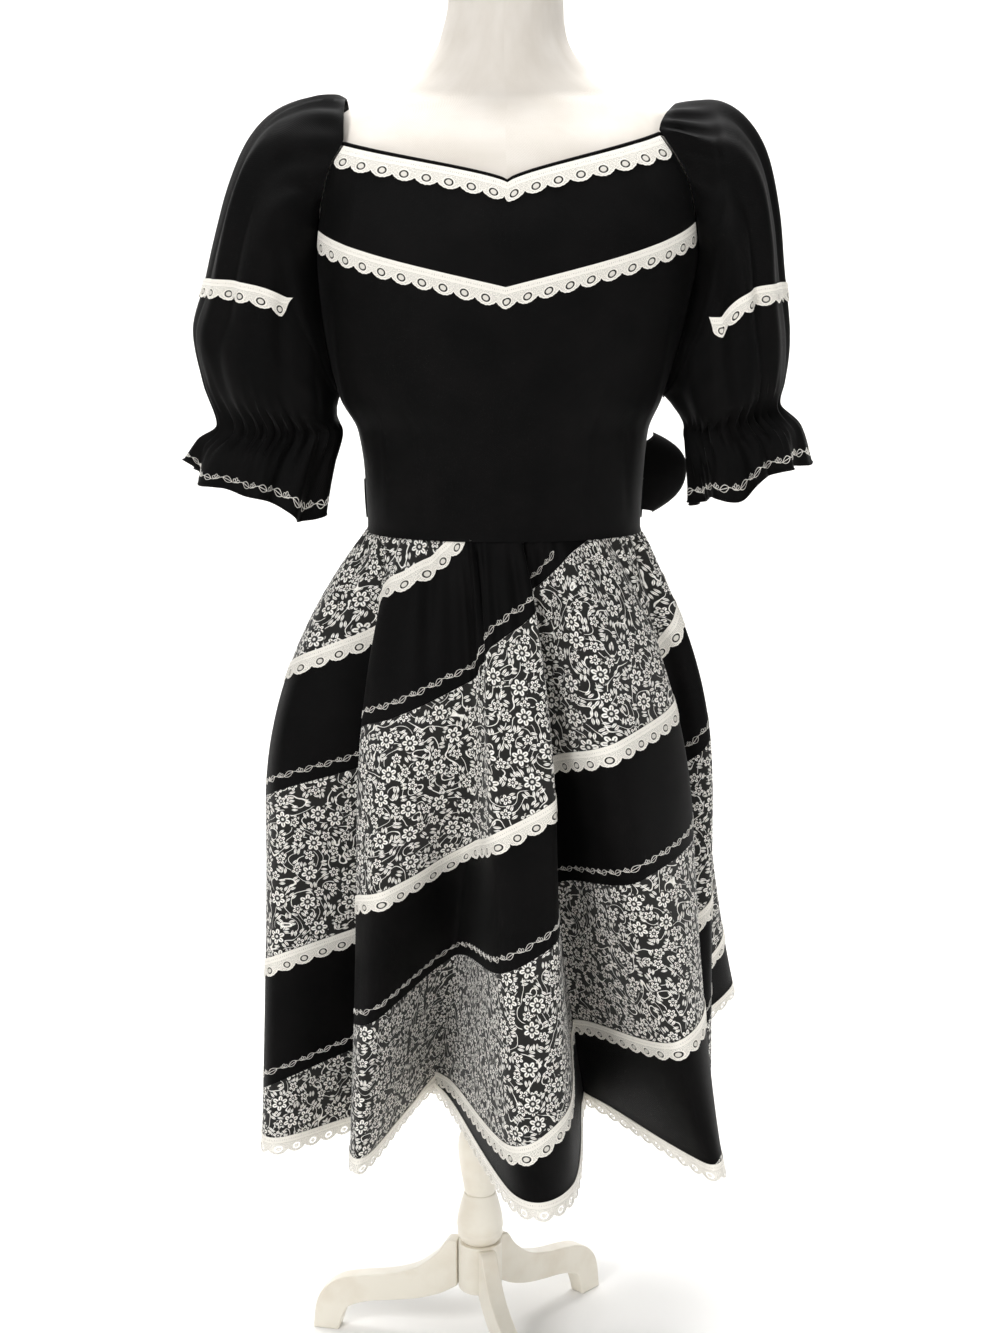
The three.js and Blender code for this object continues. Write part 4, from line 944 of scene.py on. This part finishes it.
frontLaceRun("yoke_lace_trim", yokeUp, 20)
frontLaceRun("neckline_lace_trim", lambda v: neckUp(v) - bodice["neckEdge"], 19)
print("bodice done")

# Sleeves: rings from the armhole to the ruffled hem, as the outer and inner ends in the front
# view, the half depth, and how far the middle bows away from the body
sleeveRings = {
    "left": [
        (-175, 1283, -157, 1003, 58, 26), (-210, 1271, -158, 1000, 65, 22), (-236, 1246, -159, 996, 69, 16),
        (-256, 1205, -160, 992, 71, 10), (-272, 1154, -160, 988, 72, 5), (-284, 1110, -160, 984, 72, 0),
        (-297, 1066, -159, 980, 70, 0), (-288, 1017, -158, 975, 64, 0), (-274, 975, -157, 965, 46, 0),
        (-293, 955, -165, 933, 55, 0), (-302, 932, -177, 886, 62, 0),
    ],
    "right": [
        (185, 1277, 160, 1004, 58, 28), (208, 1277, 163, 1001, 65, 22), (231, 1262, 166, 998, 69, 14),
        (250, 1232, 169, 994, 71, 8), (263, 1180, 172, 990, 72, 3), (270, 1125, 175, 986, 72, 0),
        (278, 1065, 178, 981, 70, 0), (277, 1022, 181, 974, 64, 0), (271, 994, 183, 963, 46, 0),
        (291, 974, 187, 931, 55, 0), (298, 943, 191, 899, 62, 0),
    ],
}
sleeveFacts = {
    "left": {
        "shoulder": (-146, 1283), "corner": neckline["left"], "laceOuter": 1115, "laceSeam": 1098,
        "reach": 107, "seed": 0.0,
    },
    "right": {
        "shoulder": (161, 1273), "corner": neckline["right"], "laceOuter": 1112, "laceSeam": 1080,
        "reach": 113, "seed": 2.1,
    },
}
sleeve = {
    "columns": 132, "rowsPerRing": 9, "lift": 2.4, "cornerTurn": 45, "elasticAt": 9.0,
    "creaseScale": 1.5, "headMm": 2.6, "puckerMm": 2.9, "ruffleMm": 7.5, "unevenMm": 2.0,
}
# Long folds of a sleeve: turn from its outer line, first and last ring, half width, height, lean
sleeveCreases = [
    (-78, -1.5, 8.6, 8, 3.2, 10), (-58, 0.5, 9.2, 7, -3.4, 6), (-36, -1.5, 7.5, 7, 3.0, -4),
    (-17, 1.2, 9.3, 8, -3.6, 5), (4, -1.5, 8.4, 7, 3.2, 6), (21, 0.6, 9.0, 6, -3.0, -5),
    (43, -1.5, 8.9, 8, 3.8, 7), (62, 0.8, 9.3, 7, -3.8, 5), (84, -1.5, 7.8, 8, 3.2, -6),
    (104, 1.0, 9.2, 8, -3.2, 4), (132, -1.0, 8.6, 9, 2.6, 5), (160, 1.5, 9.0, 9, -2.6, -5),
    (-104, 0.8, 9.2, 8, -3.2, -4), (-128, -1.0, 8.2, 9, 2.8, -6), (-155, 1.2, 9.0, 9, -2.4, 5),
]


def armholeRing(name, side, turns):
    facts = sleeveFacts[name]
    points = []
    for turn in turns:
        face = 1 if math.cos(math.radians(turn - 90)) >= 0 else -1
        fromTop = 360 - turn if turn > 180 else turn
        if fromTop >= sleeve["cornerTurn"]:
            least = math.cos(math.radians(sleeve["cornerTurn"])) + 1
            share = (math.cos(math.radians(fromTop)) + 1) / least
            up = bodice["underarmUp"] + (facts["corner"] - bodice["underarmUp"]) * share
            edge = float(armholeTurn(up))
            spot, normal = bodiceSpots(side * (edge if face > 0 else 180 - edge), up, False)
            points.append(spot + sleeve["lift"] * normal)
            continue
        edge = float(armholeTurn(facts["corner"]))
        spot, normal = bodiceSpots(side * (edge if face > 0 else 180 - edge), facts["corner"], False)
        corner = spot + sleeve["lift"] * normal
        lean = math.radians(90 * fromTop / sleeve["cornerTurn"])
        right = facts["shoulder"][0] + (corner[0] - facts["shoulder"][0]) * math.sin(lean) ** 2
        up = corner[2] + (facts["shoulder"][1] - corner[2]) * math.cos(lean)
        points.append(np.array([right, corner[1] * math.sin(lean), up]))
    return np.array(points)


def sleeveSurface(name, side):
    turns = np.arange(sleeve["columns"]) * 360 / sleeve["columns"]
    a = np.radians(turns)
    rings = [armholeRing(name, side, turns)]
    for outRight, outUp, inRight, inUp, depth, bow in sleeveRings[name]:
        right = (outRight + inRight) / 2 + (outRight - inRight) / 2 * np.cos(a)
        right = right + side * bow * np.sin(a) ** 2
        up = (outUp + inUp) / 2 + (outUp - inUp) / 2 * np.cos(a)
        rings.append(place(right, depth * np.sin(a), up))
    rings = np.array(rings)
    last = len(rings) - 1
    t = np.linspace(0, last, last * sleeve["rowsPerRing"] + 1)
    k = np.minimum(np.floor(t).astype(int), last - 1)
    around = [rings[np.clip(k + step, 0, last)] for step in (-1, 0, 1, 2)]
    base = throughPoints(*around, (t - k)[:, None, None])
    normals = gridNormals(base, True, -side)
    centred = (turns + 180) % 360 - 180
    seed = sleeveFacts[name]["seed"]
    tt = t[:, None]
    height = sleeve["creaseScale"] * creaseHeight(sleeveCreases, side * centred[None, :], tt, 360)
    head = np.exp(-((tt / 1.6) ** 2)) * np.clip(np.cos(a) + 0.35, 0, 1)
    height = height + sleeve["headMm"] * head * np.sin(27 * a + 1.4 * np.sin(5 * a + seed))
    pucker = np.exp(-(((tt - sleeve["elasticAt"]) / (1.0 + 0.45 * waver(4 * a, seed + 1))) ** 2))
    height = height + sleeve["puckerMm"] * pucker * np.sin(31 * a + 1.8 * np.sin(4 * a + seed))
    ruffle = np.clip((tt - sleeve["elasticAt"]) / 2, 0, 1) ** 1.2
    waves = sleeve["ruffleMm"] * ruffle * np.sin(9 * a + 1.1 * np.sin(3 * a + seed))
    height = height + waves + sleeve["unevenMm"] * ruffle * waver(7 * a, seed)
    height = height * np.clip(tt / 0.35, 0, 1)
    waved = base + height[..., None] * normals
    waved[..., 2] += ruffle * (5.0 * np.sin(4 * a + 1.3 + seed) + 3.0 * np.sin(7 * a + 2 * seed))
    return waved, normals, turns


def ringSpots(points, normals, row, column):
    return sampleGrid(points, row, column, True), unit(sampleGrid(normals, row, column, True))


def sleeveLace(name, points, normals):
    # The lace crosses the outer part of the sleeve at one height, a little lower at the seams.
    facts = sleeveFacts[name]
    fine = np.linspace(-facts["reach"], facts["reach"], 400)
    columnOf = (fine % 360) / 360 * sleeve["columns"]
    lines = sampleGrid(points, np.arange(len(points))[:, None] * 1.0, columnOf[None, :], True)
    fall = np.minimum(np.abs(fine / 105) ** 4, 1)
    target = facts["laceOuter"] + (facts["laceSeam"] - facts["laceOuter"]) * fall
    startRow = np.array([
        np.interp(-target[j], np.maximum.accumulate(-lines[2:80, j, 2]), np.arange(2, 80))
        for j in range(len(fine))
    ])
    lengths = arcLength(sampleGrid(points, startRow, columnOf, True))
    # Rows reached at each millimetre below the lace's top line, column by column
    below = np.arange(27.0)
    rowTable = []
    for j in range(len(fine)):
        run = arcLength(lines[:, j])
        start = np.interp(startRow[j], np.arange(len(run)), run)
        rowTable.append(np.interp(start + below, run, np.arange(len(run))))
    rowTable = np.array(rowTable)

    def spots(length, across):
        at = np.interp(length, lengths, np.arange(len(fine)))
        row = sampleGrid(rowTable[..., None], at, across)[..., 0]
        column = (np.interp(length, lengths, fine) % 360) / 360 * sleeve["columns"]
        return ringSpots(points, normals, row, column)

    laceRun(f"sleeve_lace_{name}_trim", lengths[-1], spots, 0.8)


def sleeveVine(name, points, normals):
    # The vine runs round the ruffle, a little above its hem.
    last = len(points) - 1
    ringLengths = arcLength(np.concatenate([points[last - 4], points[last - 4][:1]]))
    rowMm = np.mean(np.linalg.norm(points[last] - points[last - 4], axis=1)) / 4

    def spots(length, across):
        column = np.interp(length, ringLengths, np.arange(len(ringLengths)))
        return ringSpots(points, normals, last - 11 / rowMm + across / rowMm, column)

    return stitchRun(f"sleeve_vine_{name}", ringLengths[-1], spots, 1.0)


for side, name in ((-1, "left"), (1, "right")):
    points, normals, turns = sleeveSurface(name, side)
    girth = arcLength(np.concatenate([points[45], points[45][:1]]))
    long = np.mean([arcLength(points[:, j]) for j in (0, 33, 99)], axis=0)
    uv = np.stack(np.meshgrid(girth[:-1], long), -1)
    clothShell(
        f"sleeve_{name}_cloth", points, normals, wall["cloth"], uv, blackCloth, ring=True,
    )
    sleeveLace(name, points, normals)
    sleeveVine(name, points, normals)
    # A narrow rolled hem finishes the ruffle.
    rim = np.concatenate([points[-1], points[-1][:1]])
    rimNormals = np.concatenate([normals[-1], normals[-1][:1]])
    cordPiece(
        f"sleeve_hem_{name}", rim + 0.3 * rimNormals, rimNormals, 1.1, 6,
    )
print("sleeves done")

# Sash and bow
sash = {"lowUp": 884, "highUp": 922, "rows": 16, "columns": 60, "pleatMm": 1.3, "dragMm": 0.5}
for side, name in ((-1, "left"), (1, "right")):
    u = np.linspace(1, 0, sash["columns"] + 1)
    up = np.linspace(sash["highUp"], sash["lowUp"], sash["rows"] + 1)[:, None]
    turn = side * (179.8 - u[None, :] * 89.6)
    points, normals = bodiceSpots(turn, up, False)
    length = arcLength(points[8])
    nearKnot = np.clip(1 - (length[-1] - length) / 70, 0, 1)
    acrossTurns = np.linspace(0, math.pi, sash["rows"] + 1)[:, None]
    pleats = sash["pleatMm"] * nearKnot[None, :] * (0.5 + 0.5 * np.sin(5 * acrossTurns))
    drag = sash["dragMm"] * (0.5 + 0.5 * waver(length / 19, 1.0))[None, :] * np.sin(acrossTurns)
    points = points + (pleats + drag)[..., None] * normals
    uv = np.stack(np.broadcast_arrays(length, sash["highUp"] - up), -1)
    clothShell(f"sash_{name}_cloth", points, normals, wall["sash"], uv, blackCloth)

knot = {
    "right": 4, "up": 903, "half": 17, "high": 20, "deep": 11, "sashGap": 0.6, "sashWall": 1.5, "gap": 0.3,
}
bow = {
    "left": {"reach": 118, "inner": 26, "outer": 70, "deep": 15, "rise": -12},
    "right": {"reach": 189, "inner": 26, "outer": 82, "deep": 17, "rise": 14},
    "start": 16.1, "tailLong": 330, "tailLift": 6,
}
backDepth = float(bodiceAt(180.0, knot["up"])[1])
knotOut = -(
    backDepth + wall["cloth"][0] + knot["sashGap"] + knot["sashWall"] + knot["gap"] + knot["deep"]
)


def bowLoop(name, side):
    # A loop leaves the knot, turns at its end and comes back behind itself; gathers fan out of the knot.
    loop = bow[name]
    a = np.linspace(0, math.pi, 61)[None, :]
    across = np.linspace(-1, 1, 25)[:, None]
    opened = np.sin(a)
    high = (loop["inner"] + (loop["outer"] - loop["inner"]) * opened) / 2
    rounded = 1 - 0.2 * np.abs(across) ** 2.5 * opened ** 4
    right = knot["right"] + side * (bow["start"] + (loop["reach"] - bow["start"]) * opened ** 0.8 * rounded)
    spread = (0.3 + 0.7 * opened) * loop["deep"] * np.cos(a)
    points = place(right, knotOut - 9 * opened + spread, knot["up"] + loop["rise"] * opened + across * high)
    along = np.gradient(points, axis=1)
    highWay = np.gradient(points, axis=0)
    normals = unit(np.cross(along, highWay))
    fan = np.exp(-((opened / 0.55) ** 2))
    pleats = 1.1 * fan * np.sin(7.5 * across + 0.8)
    pleats = pleats + 1.3 * opened * np.sin(3.1 * across + 1.2 * np.sin(2 * a))
    points = points + pleats[..., None] * normals
    uv = np.stack(np.broadcast_arrays(arcLength(points[12]), across * 35), -1)
    return clothShell(f"bow_loop_{name}_cloth", points, normals, wall["bow"], uv, blackCloth)


def bowTail(name, side, wFrom, wTo):
    # A tail hangs from the knot over the back of the skirt, with a slanted end.
    k = np.linspace(0, 1, 25)
    w = wFrom + (wTo - wFrom) * k
    end = bow["tailLong"] + 12 * (k - 0.5) * side
    t = np.linspace(0, 1, 61)[:, None]
    down = 10 + (end[None, :] - 10) * t
    points, normals = skirtSpots(np.broadcast_to(w, down.shape), down)
    folds = 1.6 * np.sin(2 * math.pi * 1.6 * k + 0.7 * side)[None, :] * np.exp(-t * 1.4)
    folds = folds + 1.1 * waver(5 * k + 2 * t, 0.8)
    points = points + (bow["tailLift"] + folds)[..., None] * normals
    top = place(knot["right"] + side * 11.5 + (0.5 - k) * 21, knotOut, knot["up"] - knot["high"] - 0.2)
    s = np.linspace(0, 1, 9)[:-1, None, None]
    lead = top[None] * (1 - s) + points[0][None] * s
    leadNormals = unit(place(0, -1, 0.2)[None, None] * (1 - s) + normals[0][None] * s)
    points = np.concatenate([lead, points])
    normals = np.concatenate([leadNormals, normals])
    long = arcLength(points[:, 12])
    wide = arcLength(points[40])
    uv = np.stack(np.meshgrid(wide, long), -1)
    return clothShell(f"bow_tail_{name}_cloth", points, normals, wall["bow"], uv, blackCloth)


bowPieces = {
    "left loop": bowLoop("left", -1), "right loop": bowLoop("right", 1),
    "left tail": bowTail("left", -1, 24.5, 25.77), "right tail": bowTail("right", 1, 23.0, 24.0),
}


def stackedBody(name, rings, uvScale, finish, node):
    # A closed body of rings, top first, with a flat cap at each end.
    rows, columns = rings.shape[:2]
    faces = []
    for i in range(rows - 1):
        for j in range(columns):
            n = (j + 1) % columns
            faces.append((i * columns + j, (i + 1) * columns + j, (i + 1) * columns + n, i * columns + n))
    faces.append(tuple(range(columns)))
    faces.append(tuple((rows - 1) * columns + j for j in range(columns))[::-1])
    flat = rings.reshape(-1, 3)
    centre = flat.mean(0)
    sample = np.array([faces[len(faces) // 2][:4]])
    if np.dot(quadFacing(flat, sample)[0], flat[sample[0, 0]] - centre) < 0:
        faces = [face[::-1] for face in faces]
    long = arcLength(rings[:, 0])
    uvs = []
    for face in faces:
        columnsHere = [index % columns for index in face]
        wraps = max(columnsHere) - min(columnsHere) > columns / 2 and len(face) == 4
        for index, column in zip(face, columnsHere):
            turn = column + columns if wraps and column == 0 else column
            uvs.append((turn / columns * uvScale, long[index // columns]))
    return addPiece(name, flat, faces, uvs, finish, node)


# The knot: a short wrap of cloth drawn tight, with folds across it
turns = np.linspace(0, 2 * math.pi, 64, endpoint=False)[None, :]
v = np.linspace(0.12, math.pi - 0.12, 33)[:, None]
wrap = 1 + 0.05 * np.sin(6 * v + 1.1 * np.sin(turns)) + 0.025 * np.sin(13 * v + 2 * turns)
knotRings = place(
    knot["right"] + knot["half"] * np.cos(v) + 0 * turns,
    knotOut + 0.97 * knot["deep"] * np.sin(v) ** 0.75 * np.cos(turns) * wrap,
    knot["up"] + 0.97 * knot["high"] * np.sin(v) ** 0.6 * np.sin(turns) * wrap,
)
bowPieces["knot"] = stackedBody("bow_knot_cloth", knotRings, 90, blackCloth, "bow_knot")
print("sash and bow done")

# Form: level sections from the hips to the flat top of the neck
formSections = [
    (700, 142, 2, 92, 104, 2.2), (708, 145, 2, 95, 107, 2.2), (750, 145, 3, 96, 108, 2.2),
    (805, 137, 3, 95, 99, 2.2), (873, 127, 4, 91, 86, 2.1), (930, 130, 4, 96, 92, 2.1),
    (1002, 146, 3, 109, 99, 2.2), (1085, 171, 4, 118, 104, 2.3), (1145, 181, 7, 115.2, 107, 2.4),
    (1190, 179, 7, 102.5, 102.5, 2.4), (1240, 171, 5, 82, 87.5, 2.4), (1262, 163, 5, 64, 75, 2.3),
    (1276, 146, 7, 53, 64, 2.2), (1287, 117, 5.5, 46, 58, 2.1), (1307, 82, 4, 47, 55, 2),
    (1339, 60, 3.5, 50, 52, 2), (1374, 54.5, 5.5, 52, 50, 2), (1400, 54.5, 5.5, 52, 50, 2),
]
formAt = sectionReader(formSections)
ups = np.concatenate([
    [1400.0, 1399.6, 1398.4], np.arange(1396, 1264, -3.0),
    np.arange(1264, 706, -9.0), [703.0, 700.6, 700.0],
])
turns = np.linspace(0, 360, 96, endpoint=False)
formRings = formAt(turns[None, :], ups[:, None])
inset = np.interp(ups, [700, 700.6, 703, 710, 1396, 1398.4, 1399.6, 1400], [3, 1.4, 0.4, 0, 0, 0.4, 1.4, 3])
middles = formRings.mean(1, keepdims=True)
away = formRings - middles
away[..., 2] = 0
formRings = formRings - inset[:, None, None] * unit(away)
stackedBody("form_torso_cover", formRings, 900, formCover, "form_torso")

# Stand: turned post and urn, hub and three shaped legs
poleProfile = [
    (699.7, 13), (268, 13), (256, 14.5), (246, 17.5), (236, 21.5), (224, 23.2), (198, 20.4),
    (182, 17.6), (173.3, 16.4),
]
urnProfile = [
    (173, 16.8), (160, 20.6), (146, 23.6), (137, 24.4), (131, 23.4), (129.5, 24), (124, 22.6),
    (118.3, 18.5),
]


def turnedPiece(node, profile, rows):
    ups, radii = np.array(profile, float)[::-1].T
    curve = tableCurve(ups, radii)
    up = np.linspace(ups[-1], ups[0], rows)
    a = np.linspace(0, 2 * math.pi, 56, endpoint=False)
    radius = curve(up) - np.interp(np.minimum(up - ups[0], ups[-1] - up), [0, 0.8], [0.6, 0])
    rings = place(
        poleRight + radius[:, None] * np.cos(a), radius[:, None] * np.sin(a), up[:, None] + 0 * a[None, :],
    )
    stackedBody("stand_" + node, rings, 2 * math.pi * 20, woodPaint, node)


turnedPiece("pole", poleProfile, 220)
turnedPiece("urn", urnProfile, 60)
turnedPiece("hub", [(118, 23), (92, 23), (66, 23)], 30)

leg = {"board": 17.4, "turns": {"front": 16, "left": -103.5, "right": 136.5}, "start": 23.3}
legTop = [
    (23.3, 117), (34, 117), (46, 101), (66, 84), (84, 76), (102, 71), (130, 66), (153, 60), (170, 48),
    (180, 30), (184, 0),
]
legUnder = [(156, 0), (150, 19), (143, 29), (122, 37), (93, 42), (66, 47.5), (42, 56), (23.3, 67)]


def smoothLine(line, steps=5):
    line = np.array(line, float)
    k = np.repeat(np.arange(len(line) - 1), steps)
    t = np.tile(np.arange(steps) / steps, len(line) - 1)[:, None]
    around = [line[np.clip(k + s, 0, len(line) - 1)] for s in (-1, 0, 1, 2)]
    return np.concatenate([throughPoints(*around, t), line[-1:]])


for name, turn in leg["turns"].items():
    outline = np.concatenate([smoothLine(legTop), smoothLine(legUnder)])
    outline[:, 1] = np.maximum(outline[:, 1], 0)
    outline[:, 0] = np.maximum(outline[:, 0], leg["start"])
    a = math.radians(turn)
    sides = []
    for half in (-leg["board"] / 2, leg["board"] / 2):
        sides.append(place(
            poleRight + outline[:, 0] * math.sin(a) + half * math.cos(a),
            outline[:, 0] * math.cos(a) - half * math.sin(a),
            outline[:, 1],
        ))
    n = len(outline)
    faces = [tuple(range(n)), tuple(range(2 * n - 1, n - 1, -1))]
    faces += [(j, n + j, n + (j + 1) % n, (j + 1) % n) for j in range(n)]
    piece = addPiece(f"stand_leg_{name}", np.concatenate(sides), faces, None, woodPaint, f"leg_{name}")
    work = bmesh.new()
    work.from_mesh(piece.data)
    bmesh.ops.recalc_face_normals(work, faces=work.faces)
    work.to_mesh(piece.data)
    work.free()
    bevel = piece.modifiers.new("eased edges", "BEVEL")
    bevel.width = 0.0022
    bevel.segments = 3
    bevel.angle_limit = math.radians(50)
print("form and stand done")


# Floor and light: a pale sweep, a broad soft lamp from the front left and a weaker one opposite
studio = {
    "floor": "#f4f3f1", "floorSide": 7.0, "sweepBack": 2.2, "wallUp": 5.0,
    "key": {"at": (-1.7, -2.9, 2.7), "size": 1.1, "watts": 68},
    "fill": {"at": (2.4, -2.6, 1.5), "size": 1.4, "watts": 20},
    "top": {"at": (0.2, 0.9, 3.2), "size": 2.4, "watts": 34},
    "wash": {"at": (0.0, 0.9, 4.2), "size": 3.0, "watts": 220},
    "sky": 0.32,
}
profile = [(-6.0, 0.0), (studio["sweepBack"], 0.0)]
for k in range(1, 17):
    a = math.pi / 2 * k / 16
    profile.append((studio["sweepBack"] + 1.6 * math.sin(a), 1.6 - 1.6 * math.cos(a)))
profile.append((studio["sweepBack"] + 1.6, studio["wallUp"]))
sweepPoints = [(x, y, z) for x in (-studio["floorSide"], studio["floorSide"]) for y, z in profile]
n = len(profile)
floorMesh = bpy.data.meshes.new("floor")
floorMesh.from_pydata(sweepPoints, [], [(k, n + k, n + k + 1, k + 1) for k in range(n - 1)])
floorMesh.shade_smooth()
floorMaterial, tree, surface = newMaterial("pale floor paint")
values = {"Base Color": linearColour(studio["floor"]), "Roughness": 0.9, "Specular IOR Level": 0.1}
fillNode(tree, surface, values, {})
floorMesh.materials.append(floorMaterial)
floor = bpy.data.objects.new("floor", floorMesh)
bpy.context.scene.collection.objects.link(floor)

for name in ("key", "fill", "top", "wash"):
    facts = studio[name]
    lampData = bpy.data.lights.new(name, "AREA")
    lampData.shape = "DISK"
    lampData.size = facts["size"]
    lampData.energy = facts["watts"]
    lamp = bpy.data.objects.new(name, lampData)
    lamp.location = facts["at"]
    target = np.array([0.0, 3.6, 0.9]) if name == "wash" else np.array([0.0, 0.0, 0.85])
    aim = target - np.array(facts["at"])
    lamp.rotation_euler = (
        math.atan2(math.hypot(aim[0], aim[1]), -aim[2]), 0, math.atan2(-aim[0], aim[1]),
    )
    bpy.context.scene.collection.objects.link(lamp)
world = bpy.data.worlds.new("studio")
world.use_nodes = True
fillNode(world.node_tree, world.node_tree.nodes["Background"], {0: (1, 1, 1, 1), 1: studio["sky"]}, {})
bpy.context.scene.world = world
bpy.context.scene.view_settings.view_transform = "Standard"
print("studio ready")
